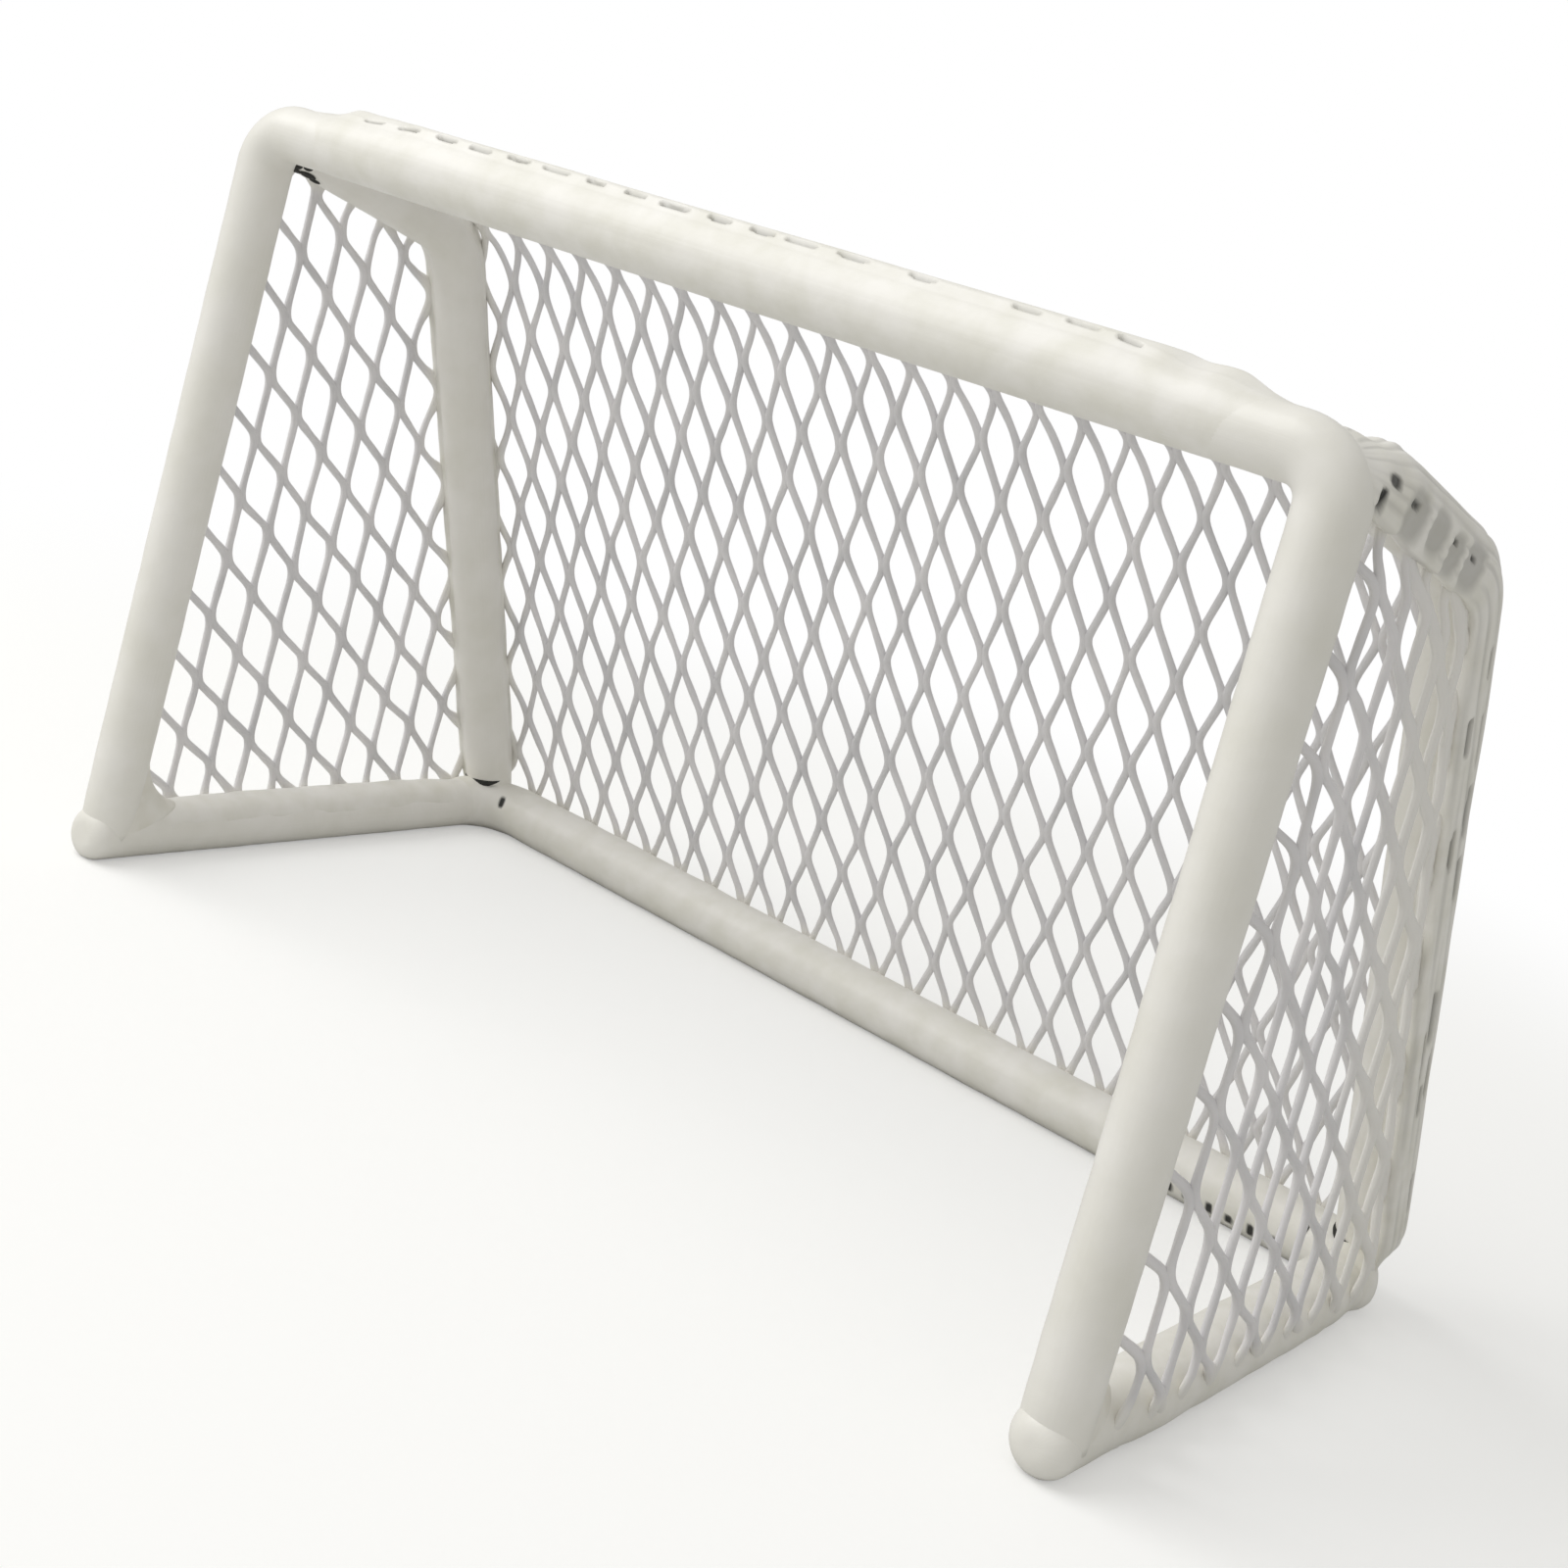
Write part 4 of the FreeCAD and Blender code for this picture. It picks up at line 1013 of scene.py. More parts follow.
# %% [markdown]
# The skin is worked out on a grid: lengths s along the bar as a column, angles round it as a row.
# Numpy then fills every place of the grid at once. A border that ends in a step would look cut,
# so the thickness fades there, and the fade is a little wavy as a brush leaves it.

# %% The grid of a skin and its fade
RING_STEP = 0.32 * MM
WAVY_FADE = 0.3


def skin_grid(path, angles, cell):
    """Even points along a path, their lengths as a column, and angles as a row.

    Points of the path are about RING_STEP apart, and places round the bar about cell apart.
    """
    known = lengths(path)
    even = np.linspace(0, known[-1], max(12, int(known[-1] / RING_STEP)))
    points = np.stack([np.interp(even, known, path[:, k]) for k in range(3)], 1)
    low, high = np.radians(angles)
    turns = max(16, int((high - low) * BAR_R / cell))
    return points, even[:, None], np.linspace(low, high, turns)[None, :]


def skin_fade(s, angle, ends, borders, seed):
    """A smooth step from 0 at the ends and borders of a skin to 1 inside.

    ends is its length at both ends in millimetres, one number or pairs of an angle and a
    length. borders are its lengths in metres from the first and from the last angle.
    """
    if not np.isscalar(ends):
        ends = np.interp(np.degrees(angle), *np.array(ends).T)
    from_low, from_high = angle - angle[0, 0], angle[0, -1] - angle
    to_border = np.minimum(from_low / borders[0], from_high / borders[1]) * BAR_R
    to_edge = np.minimum(np.minimum(s, s[-1] - s) / (ends * MM), to_border)
    slow = ripple(s, angle, seed, ((19, 0), (12, 1), (7.3, 0)))
    return smooth(to_edge * (1 + WAVY_FADE * slow))


print("rings of a skin are %.2f mm apart" % (RING_STEP / MM))

# %% [markdown]
# The rings run right round the skin's section, over its outside and back along its inside, which
# lies a little within the bar. So the skin is a closed body, as the library wants it, and its
# borders can sink into the bar's surface without a step.

# %% A skin of paint round a bar
PIT_FLOOR, EDGE_SINK = 0.14 * MM, 0.08 * MM
INNER_DEEP, INNER_POINTS = 0.5 * MM, 8
OFF_GROUND = 0.02 * MM


def skin_mesh(name, path, first, s, angle, radius, gap):
    """A closed skin of the given radius round a path, with a UV map and the mark gap."""
    inner = np.minimum(BAR_R, radius.min(1, keepdims=True)) - INNER_DEEP
    radius = np.concatenate([radius, np.repeat(inner, INNER_POINTS, 1)], 1)
    back = np.linspace(angle[0, -1], angle[0, 0], INNER_POINTS)
    turn = np.concatenate([angle[0], back])
    tangent = unit(np.gradient(path, axis=0))
    first = np.broadcast_to(unit(np.array(first, float)), path.shape)
    second = np.cross(tangent, first)
    way = np.cos(turn)[:, None] * first[:, None] + np.sin(turn)[:, None] * second[:, None]
    rings = path[:, None] + radius[..., None] * way
    rings[..., 2] = np.maximum(rings[..., 2], OFF_GROUND)
    around_m = np.append(turn, turn[0])[None, :] * BAR_R
    uv = np.stack(np.broadcast_arrays(s, around_m), -1)[None]
    piece = ring_mesh(name, rings[None], uv=uv)
    marks = np.pad(gap, ((0, 0), (0, INNER_POINTS))).reshape(-1)
    piece.data.attributes.new("gap", "FLOAT", "POINT").data.foreach_set("value", marks)
    return piece


def skin(name, nodes, path, first, angles, thick, seed, ribs, rib, borders,
         gaps=(), ends=3.0, cell=0.24 * MM, limit=None, groove_shade=0.0, lumps=None):
    """A skin of paint round part of a bar: radius = BAR_R + fade * (thickness + rib * ripple).

    Thickness is interpolated from pairs of an angle in degrees and millimetres. Inside a gap
    the radius falls to PIT_FLOOR over BAR_R, and the mark gap rises, which paints the gap's shade.
    limit(s, angle) bounds the radius by soft_least. groove_shade is how dark the mark gap makes the
    grooves between the ribs, as painted shade. lumps (place, reach, height) adds height * ripple *
    exp(-((s - place) / reach)**2).
    """
    path, s, angle = skin_grid(path, angles, cell)
    wander = ripple(s, angle, seed, ribs)
    fade = skin_fade(s, angle, ends, borders, seed + 7)
    base = np.interp(np.degrees(angle), *np.array(thick).T) * MM
    height = fade * (base + rib * wander) - EDGE_SINK * (1 - fade) ** 3
    gap, pit = dig(gaps, s, angle)
    height = height + pit * (np.minimum(height, PIT_FLOOR) - height)
    radius = BAR_R + height
    if limit is not None:
        radius = soft_least(radius, limit(s, angle))
    if lumps is not None:
        place, reach, tall = lumps
        blobs = ripple(s, angle, seed + 20, ((9.5, 1), (6.7, 2), (5.2, -1)))
        radius = radius + tall * blobs * np.exp(-((s - place) / reach) ** 2)
    # Painted shade: the grooves between the ribs get a little of the dark gap colour.
    gap = np.maximum(gap, groove_shade * np.clip(-2 * wander, 0, 1) * fade)
    piece = skin_mesh(name, path, first, s, angle, radius, gap)
    piece.data.materials.append(EDGE_ENAMEL)
    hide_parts(*nodes)
    print(name, "faces", len(piece.data.polygons), "gaps", len(gaps))


print("floor of a gap: %.2f mm over the bar" % (PIT_FLOOR / MM))

# %% [markdown]
# ## The crossbar's skin
# The roof's mesh is folded over the crossbar from behind, so the paint is thickest where the
# roof meets the bar and thins out forward and down. Angles are counted from straight back over
# the top. The skin covers the straight part and fades out towards the bends, over a short length
# at the back and a long one in front. One row of slits is left open on the top, larger and
# darker on the left than on the right.

# %% Skin over the straight part of the crossbar
LEVEL_WITHIN = 0.01 * MM
straight_part = front_path[np.abs(front_path[:, 2] - BAR_Z) < LEVEL_WITHIN]
roof_turn = math.degrees(math.atan2(ROOF_OUT[2], ROOF_OUT[1]))
lip = [(-42, 0.9), (-12, 1.6), (2, 1.95), (18, 2.0), (24, 1.85), (30, 1.35), (37, 0.95),
       (48, 0.7), (62, 0.45), (80, 0.25), (100, 0.12), (140, 0.06), (236, 0.06)]
# The slits are shallow pits, and their dark colour is painted shade.
slits = [gap_row(15, 95, 6.6, roof_turn + 26, 1.85, 0.22, 0.97, 0.8, 3, 0.8),
         gap_row(97, 138, 6.6, roof_turn + 26, 1.5, 0.18, 0.75, 0.66, 4, 0.8)]
skin("crossbar_edge", ["crossbar_hem"], straight_part, (0, 1, 0), (roof_turn - 42, roof_turn + 236),
     [(roof_turn + turn, mm) for turn, mm in lip], 61, ribs=((37, 1), (23, 1), (51, 2)),
     rib=0.035 * MM, ends=[(roof_turn - 42, 4), (roof_turn, 12), (roof_turn + 20, 24)],
     borders=(1.2 * MM, 3 * MM), cell=0.13 * MM, gaps=np.concatenate(slits))

# %% [markdown]
# ## The skins of the base
# On the base, angles are counted from straight up towards the outside of the goal. The rear skin
# runs round both rear bends. It has a small drilled hole on the inner side of each bend, and a
# row of six unfilled gaps low down near the right end. A real cut would need a boolean for a
# hole of under two millimetres, so the holes are shallow pits like the gaps, and the shade in
# both is painted on as a dark colour. The side skins are thinner, and run from the post to the
# bend.

# %% Skins along the base bars
PAST_BEND = 2
HOLE_ALONG, HOLE_TURN = math.radians(70), math.radians(-60)
HOLE_LONG, HOLE_WIDE = 0.8 * MM, 0.9 * MM
OVER_BEND = 1.5 * MM
round_base = base_path[::-1]
rear_part = round_base[round_base[:, 1] > BASE_Y - BASE_BEND - PAST_BEND * MM]
bend_long = BASE_BEND / MM * math.pi / 2
straight = 2 * (POST_X - BASE_BEND) / MM
to_hole = BASE_BEND / MM * HOLE_ALONG
# Holes and gaps are shallow pits, and the shade inside them is painted dark.
holes = [(start * MM, HOLE_TURN, HOLE_LONG, HOLE_WIDE, 1.0)
         for start in (PAST_BEND + to_hole, PAST_BEND + 2 * bend_long + straight - to_hole)]
dots_start = PAST_BEND + bend_long
dots = gap_row(dots_start + 1.5, dots_start + 19, 3.15, -112, 0.62, 0.75, 1.0, 1.0, 5, 1.0)
skin("rear_base_edge", ["back_base_hem"], rear_part, (0, 0, 1), (-150, 142),
     [(-150, 0.2), (-60, 0.3), (0, 0.4), (60, 0.7), (110, 0.75), (142, 0.4)], 62,
     ribs=((13, 2), (9, 1), (17, 3)), rib=0.06 * MM, gaps=np.concatenate([dots, holes]),
     borders=(2.5 * MM, 1.5 * MM))
side_y = (GOAL_Y + BAR_R, BASE_Y - BASE_BEND + OVER_BEND)
for side, sign in SIDES:
    line = np.array([(sign * POST_X, y, RAIL_Z) for y in side_y[::sign]])
    skin(side + "_base_edge", [side + "_base_hem"], line, (0, 0, 1), (-76, 154),
         [(-76, 0.12), (0, 0.3), (40, 0.6), (110, 0.55), (154, 0.2)], 63 + sign,
         ribs=((11, 2), (7.7, 1), (15, 3)), rib=0.06 * MM, borders=(3 * MM, 1.5 * MM), ends=15.0)

# %% [markdown]
# ## The skins of the side bars
# One skin runs along each side bar, up the upright, round the bend and along the top rail.
# Angles are counted from the outside of the goal towards the back and the roof. The right one
# is the widest: the mesh is folded double there and stands out in front as a flange. Long dark
# slits are left in the uprights' skins, and a row of half-filled meshes in the rails' skins. At
# the right corner the brush left lumps, with dark holes between them. The darkness of the slits,
# meshes and holes is painted shade, and so is a faint darkening of the grooves between the ribs.

# %% Skins along the uprights and the top rails
CORNER_HOLES = np.array([(2.9, -28, 0.5, 1.0, 1.0), (4.4, 6, 1.2, 0.7, 0.95),
                         (8.4, -6, 0.6, 0.35, 0.9)]) * (MM, math.pi / 180, MM, MM, 1)
over_side = [(-18, 1.1), (0, 0.95), (60, 0.85), (100, 0.8), (140, 0.35)]
flange = [(-66, 2.0), (-50, 2.45), (-40, 2.1), (-30, 1.6)]
plain = [(-56, 0.4), (-40, 0.9)]
for side, sign, folded in (("left", -1, plain), ("right", 1, flange)):
    x = sign * POST_X
    line = bent_path([(x, BASE_Y, RAIL_Z), (x, TOP_Y, REAR_HIGH), (x, GOAL_Y, BAR_Z)], SIDE_BEND)
    whole = lengths(line)[-1]
    # Slits, half-filled meshes and corner holes: shallow pits whose dark colour is painted shade.
    slits = np.concatenate([gap_row(14, 94, 9.5, 4, 3.2, 0.32, 0.75, 0.75, 8),
                            gap_row(18, 94, 12, -12, 2.6, 0.24, 0.7, 0.7, 9),
                            gap_row(22, 92, 15, -27, 3.0, 0.22, 0.8, 0.8, 10)])
    windows = np.concatenate([gap_row(10.5, roof_long / MM, 6.6, -14, 2.5, 1.75, 1.0, 0.36, 6),
                              gap_row(9.6, roof_long / MM, 6.6, -2, 0.9, 0.3, 0.8, 0.9, 7)])
    if sign > 0:
        windows = np.concatenate([windows, CORNER_HOLES])
    windows[:, 0] = whole - windows[:, 0]
    gaps = np.concatenate([slits, windows])
    if sign < 0:
        gaps[:, 0] = whole - gaps[:, 0]
    skin(side + "_side_edge", [side + "_upright_hem", side + "_top_hem"], line[::sign], (sign, 0, 0),
         (folded[0][0], 140), folded + over_side, 81 + sign, gaps=gaps,
         ribs=((80, 15), (60, -19), (45, 13), (33, 23)), rib=0.22 * MM, groove_shade=0.2,
         ends=[(-66, 6.0), (-20, 4.0), (10, 1.0)], borders=(1.5 * MM, 1.5 * MM),
         lumps=(whole - 5 * MM, 4.5 * MM, 0.5 * MM) if sign > 0 else None,
         limit=lambda s, turn: np.minimum(
             fairing(s if sign > 0 else whole - s, turn, BASE_BEND, FOOT_FAIR),
             fairing(whole - s if sign > 0 else s, turn, FRONT_BEND, TOP_FAIR)))

# %% [markdown]
# ## Filler in the corners
# Behind each post's foot the maker ran filler into the corner, and the brush rounded it further.
# Seen from the side it is a small concave ramp. A boolean union with a bevel makes a ramp of one
# width all round, but this one is long behind the post and almost nothing in front. So for each
# direction round the post, a curve runs from the post's side down and out onto the base bar, and
# it bulges least where the two bars meet flush.

# %% A collar of filler between two bars
COLLAR_TURNS, COLLAR_STEPS = 72, 14
TIGHT, FRONT_IN = 0.985, 0.12
COLLAR_SINK, COLLAR_INNER = 0.06 * MM, 0.6 * BAR_R
COLLAR_ROUGH, BULGE = 0.10, 0.16
FRONT_RISE = 0.12 * MM
COLLARS = {"left": (9.5 * MM, 8.0 * MM), "right": (6.5 * MM, 5.0 * MM)}


def collar(name, node, foot, rise_back, reach_back, seed):
    """A concave collar where a post meets the base bar of the same radius.

    For the turn t round the post, the bars meet at height r * |sin(t)| over the base bar's
    axis. A parabola goes from a point higher up the post to a point further out along the base
    bar, with its middle point near the meeting line: (1 - h)**2 top + 2 h (1 - h) mid + h**2 end.
    The front is drawn in by up to FRONT_IN of the radius more than the back, so that it stays
    under the post's front.
    """
    up, along, side = np.eye(3)[[2, 1, 0]]
    t = np.linspace(0, 2 * np.pi, COLLAR_TURNS, endpoint=False)
    rim = np.abs(np.sin(t))
    behind = np.sin(t) > 0
    grow = rim ** 1.2 * (1 + COLLAR_ROUGH * ripple(t * 5 * MM, t, seed))
    rise = np.where(behind, rise_back, FRONT_RISE) * grow
    reach = np.where(behind, reach_back, 0.8 * FRONT_RISE) * grow
    out = np.cos(t)[:, None] * side + np.sin(t)[:, None] * along
    forth = np.sign(np.sin(t))[:, None] * along
    tight = BAR_R * (TIGHT + np.where(behind, 1 - TIGHT, -FRONT_IN) * rim)[:, None]
    meet = foot + tight * out + tight * rim[:, None] * up
    top = meet + rise[:, None] * up - COLLAR_SINK * out
    end = meet + reach[:, None] * forth - COLLAR_SINK * up
    mid = meet + BULGE * (rise[:, None] * up + reach[:, None] * forth)
    h = np.linspace(0, 1, COLLAR_STEPS)[:, None, None]
    ramp = (1 - h) ** 2 * top + 2 * h * (1 - h) * mid + h ** 2 * end
    deep = foot + COLLAR_INNER * (out + rim[:, None] * up)
    rings = np.concatenate([(deep + rise[:, None] * up)[None], ramp, deep[None]])
    piece = ring_mesh(name, rings[None, ::-1])
    piece.data.materials.append(FILLER_PAINT)
    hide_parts(node)
    print(name, "faces", len(piece.data.polygons))


for side, sign in SIDES:
    foot = np.array([sign * POST_X, GOAL_Y, RAIL_Z])
    collar(side + "_foot_filler", side + "_foot_bead", foot, *COLLARS[side], 91 + sign)

# %% [markdown]
# ## Where bars butt
# The uprights stand on the rear bends, and paint never closed the joint on the side of the
# mouth: the gap left there lies in shade as a dark crescent. At the left top corner a thin broken
# gap in shade follows the line where the rail's surface runs into the front frame. A real gap would
# need both bars cut open. Here its shade is painted as thin dark beads, which lie where the joint
# is at any size. The line is found by following each line of the rail's surface until it is a bar
# radius from the other bar's axis.

# %% The line where two bars meet
MEET_MOST, MEET_STEPS = 16 * MM, 161
MEET_NEAR = 30 * MM


def meeting_line(start, way, first, turns, other):
    """Points on a bar's surface where it runs into another bar of its radius, one for each turn."""
    first = np.array(first, float)
    second = np.cross(way, first)
    skin_start = start + BAR_R * (np.cos(turns)[:, None] * first + np.sin(turns)[:, None] * second)
    reach = np.linspace(0, MEET_MOST, MEET_STEPS)
    points = skin_start[:, None] + reach[:, None] * way
    near = other[np.linalg.norm(other - start, axis=1) < MEET_NEAR]
    gap = np.linalg.norm(points[:, :, None] - near, axis=-1).min(-1)
    hit = np.argmax(gap <= BAR_R, axis=1)
    return points[np.arange(len(turns)), hit]


BEAD_SIDES = 10


def beads(name, lines, wide, material, deep=None):
    """Closed beads along short lines: lines (rows, points, 3), wide and deep (rows, points)."""
    deep = wide if deep is None else deep
    tangent = unit(np.gradient(lines, axis=-2))
    up, across = np.eye(3)[[2, 0]]
    helper = np.where(np.abs(tangent[..., 2:]) < 0.8, up, across)
    first = unit(np.cross(helper, tangent))
    rings = around(lines, first, BEAD_SIDES, wide[..., None], deep[..., None])
    piece = ring_mesh(name, rings)
    piece.data.materials.append(material)
    print(name, "beads", len(lines))


print("points round a bead:", BEAD_SIDES)

# %% [markdown]
# The crescent of painted shadow at an upright's foot is one bead, wide in the middle. The broken
# line of painted shade at the left top corner is seven short beads, with lengths and widths by
# seeded chance.

# %% Painted shadow in the gaps at the feet of the uprights and at the left top corner
GAP_HIGH, GAP_WIDE = 5.7 * MM, 0.6 * MM
BEAD_POINTS, CORNER_BEADS, CORNER_BACK = 13, 7, 14 * MM
CRESCENTS = {"left": (14, 128), "right": (52, 166)}
swell = np.sin(np.linspace(0.04, np.pi - 0.04, BEAD_POINTS))
# Painted shadow in the unclosed joint at each upright's foot.
for side, sign in SIDES:
    turns = np.radians(np.linspace(*CRESCENTS[side], BEAD_POINTS))[:, None]
    middle = np.array([sign * POST_X, BASE_Y, RAIL_Z]) + GAP_HIGH * BACK_UP
    crescent = middle + BAR_R * (np.cos(turns) * ACROSS - np.sin(turns) * BACK_OUT)
    beads(side + "_foot_gap_shadow", crescent[None], GAP_WIDE * swell[None], SHADE_AND_SPECKS)

# Painted shade along the joint at the left top corner.
random = np.random.default_rng(100)
tip = np.array([-POST_X, GOAL_Y, BAR_Z])
middle = np.radians(180 + np.arange(-20, 106, 18)) + random.normal(0, 0.08, CORNER_BEADS)
spread = np.radians(random.uniform(6, 12, CORNER_BEADS))[:, None]
turns = middle[:, None] + spread * np.linspace(-1, 1, BEAD_POINTS)
line = meeting_line(tip - ROOF_UP * CORNER_BACK, ROOF_UP, ROOF_OUT, turns.reshape(-1), front_path)
wide = random.uniform(0.08, 0.42, CORNER_BEADS)[:, None] * MM * swell
beads("left_corner_gap_shade", line.reshape(CORNER_BEADS, BEAD_POINTS, 3), wide, SHADE_AND_SPECKS)

# %% [markdown]
# ## Dabs over the rear pins
# The pins that hold the uprights in the base end low on the outside of the rear bends. In the
# CAD their ends come a little through the surface. Real enamel would cover such an end with a
# small round bump. A sphere would stand out too far, so the dab is a bead whose width follows a
# cosine.

# %% Dabs of paint over the lower ends of the rear pins
DAB_LONG, DAB_OUT, DAB_HIGH = 1.7 * MM, 1.05 * MM, 1.25 * MM
DAB_Z = 2.1 * MM
lean_by = np.linspace(-1.5, 1.5, BEAD_POINTS)
corner_out = unit(np.array([(-1, 1, 0), (1, 1, 0)], float))
corner_way = unit(np.array([(-1, -1, 0), (1, -1, 0)], float))
bend_x, bend_y = POST_X - BASE_BEND, BASE_Y - BASE_BEND
bend_middle = np.array([(-bend_x, bend_y, DAB_Z), (bend_x, bend_y, DAB_Z)])
dab_middle = bend_middle + (BASE_BEND + 0.95 * BAR_R) * corner_out
dab_lines = dab_middle[:, None] + DAB_LONG * np.sin(lean_by)[:, None] * corner_way[:, None]
dab_round = np.tile(np.cos(lean_by), (2, 1))
beads("rear_pin_dabs", dab_lines, DAB_OUT * dab_round, EDGE_ENAMEL, DAB_HIGH * dab_round)

# %% [markdown]
# ## Dark lenses
# Where the left rail meets the front frame, the small cavity on the inside lies in shade, and
# flat dark lenses paint that shade onto the rail. There are also two dark specks at the top of the
# left upright. A real cavity would need a much finer mesh. Each mark is a flat dark lens that lies
# on the bar: an ellipse of half sizes along and across the bar.

# %% Lenses on a bar
LENS_RINGS, LENS_SIDES = 11, 16


def lenses(name, start, way, first, spots, thick, material):
    """Lenses on a bar: each spot is (along, turn, half along, half across) in mm and degrees.

    Ring t from -1 to 1 of a lens has the half width half across * sqrt(1 - t**2) round the bar
    and the half thickness thick * sqrt(1 - t**2), at along + half along * t.
    """
    along, turn, half_long, half_wide = (np.array(column)[:, None] for column in zip(*spots))
    t = np.sin(np.linspace(-1.5, 1.5, LENS_RINGS))
    first = np.array(first, float)
    second = np.cross(way, first)
    angle = np.radians(turn)
    out = (np.cos(angle) * first + np.sin(angle) * second)[:, None]
    across = (np.cos(angle) * second - np.sin(angle) * first)[:, None]
    centre = start + (along + half_long * t)[..., None] * MM * way + BAR_R * out
    round_by = np.sqrt(1 - t * t)
    side = np.linspace(0, 2 * np.pi, LENS_SIDES, endpoint=False)
    wide = (half_wide * round_by)[..., None, None] * MM * np.cos(side)[:, None] * across[:, :, None]
    deep = thick * round_by[:, None, None] * np.sin(side)[:, None] * out[:, :, None]
    piece = ring_mesh(name, centre[:, :, None] + wide + deep)
    piece.data.materials.append(material)
    print(name, "lenses", len(spots))


# Painted shade of the cavity on the inside of the left top corner.
CORNER_SHADE = [(4.6, 150, 1.0, 0.9), (5.6, 168, 1.3, 0.8), (7.6, 158, 1.5, 0.7),
         (6.2, 138, 0.8, 0.5), (9.6, 166, 1.0, 0.5)]
SPECKS = [(98.5, 77, 0.5, 0.25), (96.4, 80, 0.35, 0.2)]
lenses("left_corner_shade", tip, -ROOF_UP, ROOF_OUT, CORNER_SHADE, 0.16 * MM, SHADE_AND_SPECKS)
rear_foot = np.array([-POST_X, BASE_Y, RAIL_Z])
lenses("left_upright_specks", rear_foot, BACK_UP, ACROSS, SPECKS, 0.1 * MM, SHADE_AND_SPECKS)

# %% [markdown]
# ## Stage
# The photograph has a white ground with a soft shadow near the goal. A bright white floor and
# world would do that, but would also light the goal from below. So the floor and the world show
# white to the camera alone, through Light Path, and shine only moderately on the goal. Near the
# goal the floor is a real surface that takes the shadow, and further out it fades to white.

# %% Floor
FLOOR_HALF = 3.0
FLOOR_GLOW = 0.34
FADE_FROM, FADE_TO = 0.14, 0.30


def stage_floor():
    """A pale floor that keeps the goal's shadow and shows white to the camera."""
    corners = [(x * FLOOR_HALF, y * FLOOR_HALF, 0) for x, y in ((-1, -1), (1, -1), (1, 1), (-1, 1))]
    mesh = bpy.data.meshes.new("floor")
    mesh.from_pydata(corners, [], [(0, 1, 2, 3)])
    floor = bpy.data.objects.new("floor", mesh)
    bpy.context.scene.collection.objects.link(floor)
    material, tree = new_material("pale_floor")
    paint = add_node(tree, "ShaderNodeBsdfDiffuse", {"Color": linear("#dadad8")})
    glow = add_node(tree, "ShaderNodeEmission", {"Color": (1, 1, 1, 1), "Strength": FLOOR_GLOW})
    both = add_node(tree, "ShaderNodeAddShader", {0: paint.outputs["BSDF"],
                                                  1: glow.outputs["Emission"]})
    white = add_node(tree, "ShaderNodeEmission", {"Color": (1, 1, 1, 1), "Strength": 1.0})
    place = add_node(tree, "ShaderNodeTexCoord")
    far = add_node(tree, "ShaderNodeVectorMath", {0: place.outputs["Object"]}, operation="LENGTH")
    fade = add_node(tree, "ShaderNodeMapRange", {"Value": far.outputs["Value"],
                                                 "From Min": FADE_FROM, "From Max": FADE_TO},
                    interpolation_type="SMOOTHSTEP")
    near = add_node(tree, "ShaderNodeMixShader", {0: fade.outputs["Result"],
                                                  1: both.outputs["Shader"],
                                                  2: white.outputs["Emission"]})
    path = add_node(tree, "ShaderNodeLightPath")
    seen = add_node(tree, "ShaderNodeMixShader", {0: path.outputs["Is Camera Ray"],
                                                  1: paint.outputs["BSDF"],
                                                  2: near.outputs["Shader"]})
    add_node(tree, "ShaderNodeOutputMaterial", {"Surface": seen.outputs["Shader"]})
    mesh.materials.append(material)


stage_floor()
print("floor fades to white from %.2f to %.2f m" % (FADE_FROM, FADE_TO))

# %% [markdown]
# The world gives the even light that fills the shadows. It has a trace of warmth, because the
# enamel's shadows in the photograph are a warm grey.

# %% World
WORLD_LIGHT = 0.57
world = bpy.data.worlds.new("studio")
bpy.context.scene.world = world
world.use_nodes = True
sky = world.node_tree
sky.nodes.clear()
path = add_node(sky, "ShaderNodeLightPath")
light = add_node(sky, "ShaderNodeBackground", {"Color": linear("#f7f6f3"),
                                                "Strength": WORLD_LIGHT})
white = add_node(sky, "ShaderNodeBackground", {"Color": (1, 1, 1, 1), "Strength": 1.0})
seen = add_node(sky, "ShaderNodeMixShader", {0: path.outputs["Is Camera Ray"],
                                             1: light.outputs["Background"],
                                             2: white.outputs["Background"]})
add_node(sky, "ShaderNodeOutputWorld", {"Surface": seen.outputs["Shader"]})
print("world light:", WORLD_LIGHT)

# %% [markdown]
# ## The lamp
# The photograph's shadows are soft and fall to the right and back, as from a large window or a
# soft box at the upper left. A point lamp would give hard shadows of every strand. One large
# square area lamp gives the soft ones, and the pale world fills them.


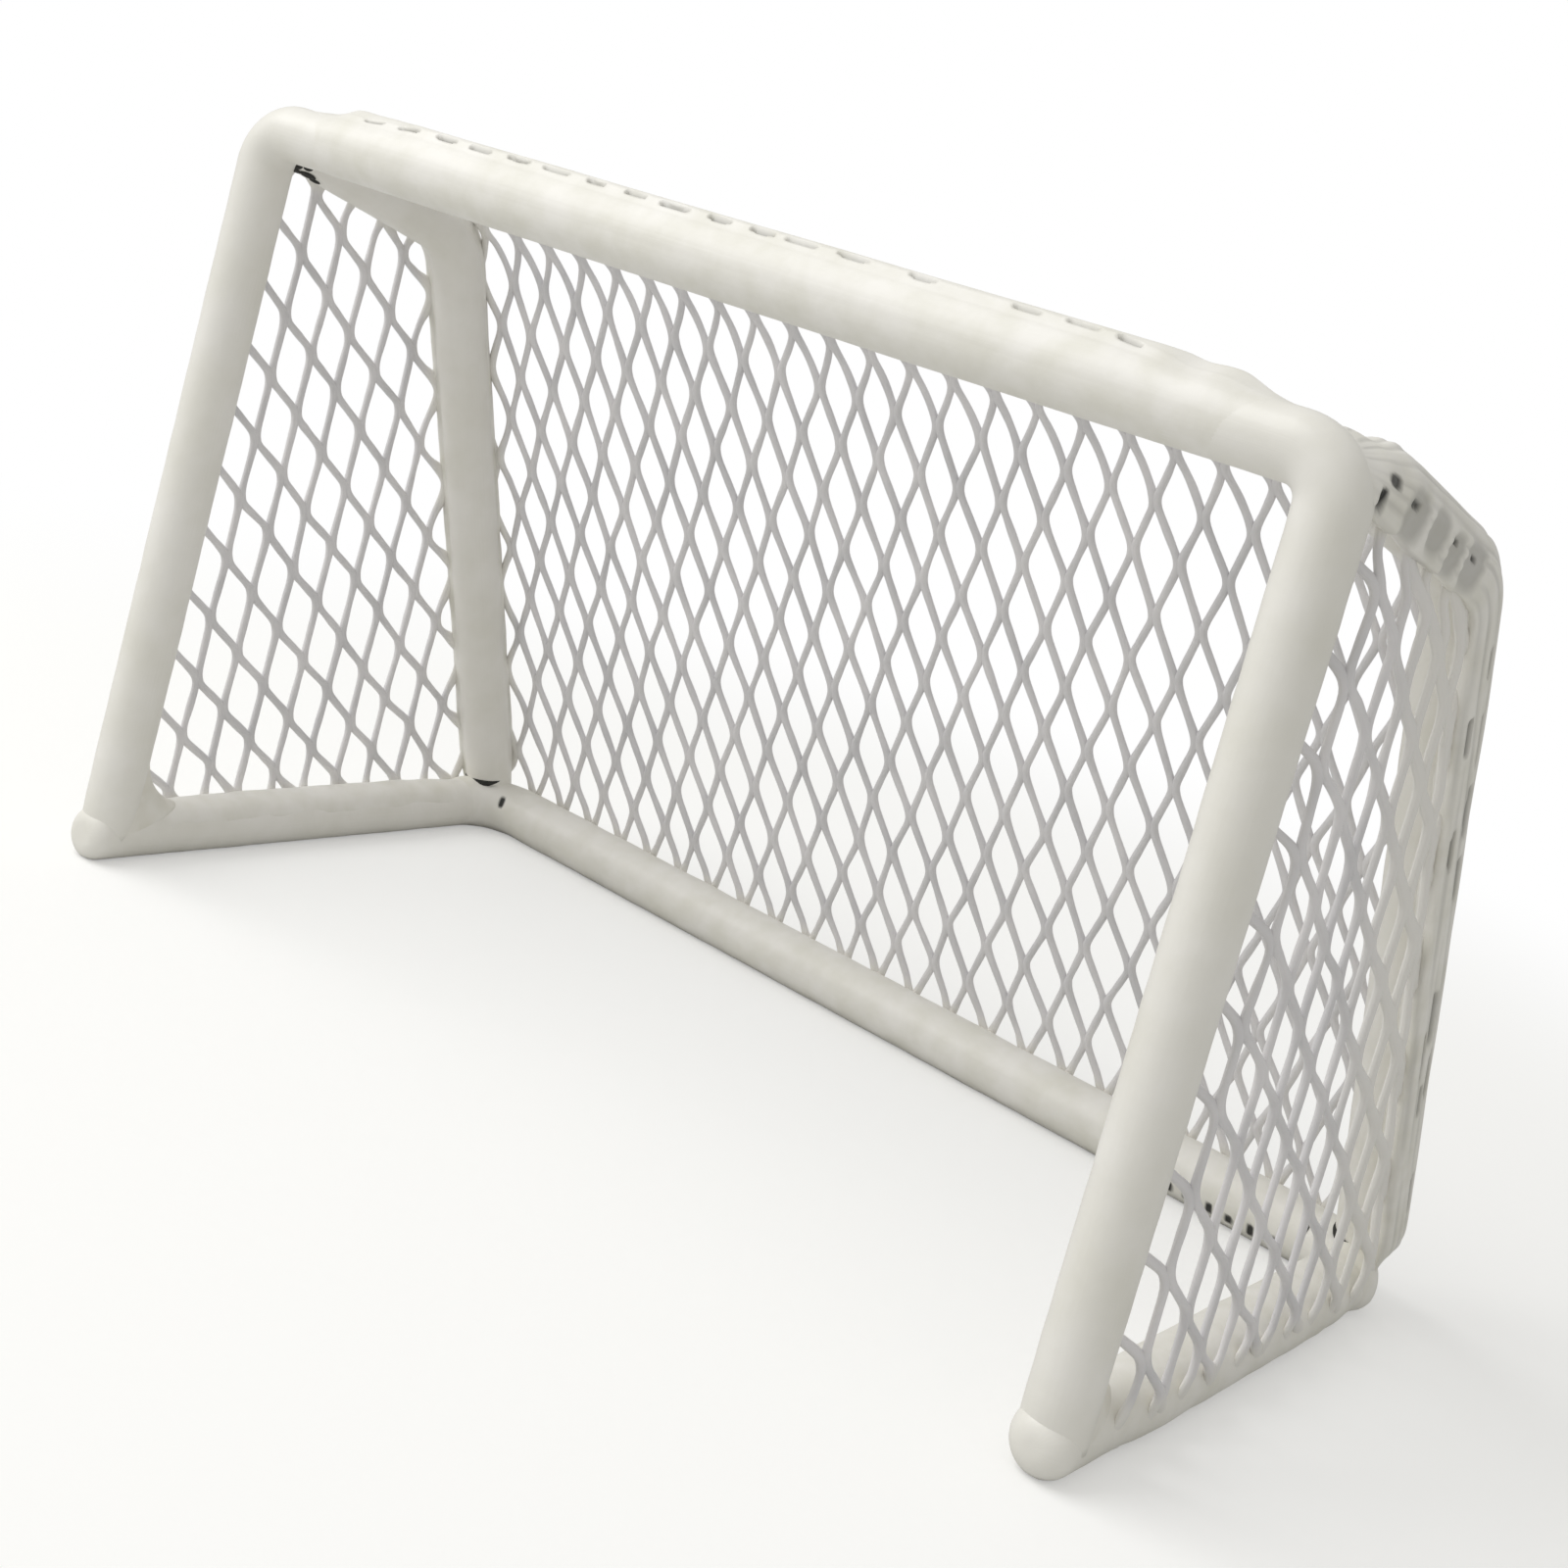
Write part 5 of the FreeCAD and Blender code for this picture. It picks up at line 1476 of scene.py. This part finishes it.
# %% One large lamp
def lamp(name, place, target, size, power):
    """A square area lamp that faces a target."""
    data = bpy.data.lights.new(name, "AREA")
    data.size, data.energy = size, power
    holder = bpy.data.objects.new(name, data)
    bpy.context.scene.collection.objects.link(holder)
    way = unit(np.array(target, float) - np.array(place, float))
    right = unit(np.cross(way, (0, 0, 1)))
    up = np.cross(right, way)
    matrix = np.eye(4)
    matrix[:3, :4] = np.stack([right, up, -way, np.array(place, float)], 1)
    holder.matrix_world = matrix.T.tolist()


KEY_PLACE, KEY_TARGET = (-0.42, -0.40, 0.68), (0, 0, 0.05)
KEY_SIZE, KEY_POWER = 0.7, 4.3
lamp("key", KEY_PLACE, KEY_TARGET, KEY_SIZE, KEY_POWER)
print("lamp: %.1f m wide, %.1f W" % (KEY_SIZE, KEY_POWER))

# %% [markdown]
# ## Camera
# The photograph was taken from in front and to the right, a little above the crossbar, with the
# camera rolled. It could be moved by eye until the pictures agree. Its place and lens were
# fitted to the bars' edges instead, which comes closer. The picture is a crop, so the lens axis
# is above its middle, which the shift stands for.

# %% Camera at the photograph's view
PICTURE = 1600
FOCAL_PX, AXIS_X, AXIS_Y = 2377, 742, 450
ROLL, PITCH, YAW = math.radians(-15.06), math.radians(6.95), math.radians(37.11)
EYE = np.array([167.5 * MM, GOAL_Y - 210.4 * MM, 118.8 * MM])
level = np.array([math.cos(YAW), math.sin(YAW), 0])
ahead = np.array([-math.sin(YAW), math.cos(YAW), 0])
forward = math.cos(PITCH) * ahead - math.sin(PITCH) * np.array([0, 0, 1])
down = np.cross(forward, level)
right = math.cos(ROLL) * level + math.sin(ROLL) * down
below = -math.sin(ROLL) * level + math.cos(ROLL) * down
data = bpy.data.cameras.new("camera")
data.sensor_width = 36
data.lens = FOCAL_PX / PICTURE * data.sensor_width
data.shift_x = (PICTURE / 2 - AXIS_X) / PICTURE
data.shift_y = (AXIS_Y - PICTURE / 2) / PICTURE
data.clip_start, data.clip_end = 0.01, 20
camera = bpy.data.objects.new("camera", data)
bpy.context.scene.collection.objects.link(camera)
pose = np.eye(4)
pose[:3, :4] = np.stack([right, -below, -forward, EYE], 1)
camera.matrix_world = pose.T.tolist()
bpy.context.scene.camera = camera
bpy.context.scene.view_settings.view_transform = "Standard"
print("lens %.1f mm, eye mm:" % data.lens, np.round(EYE / MM, 1).tolist())
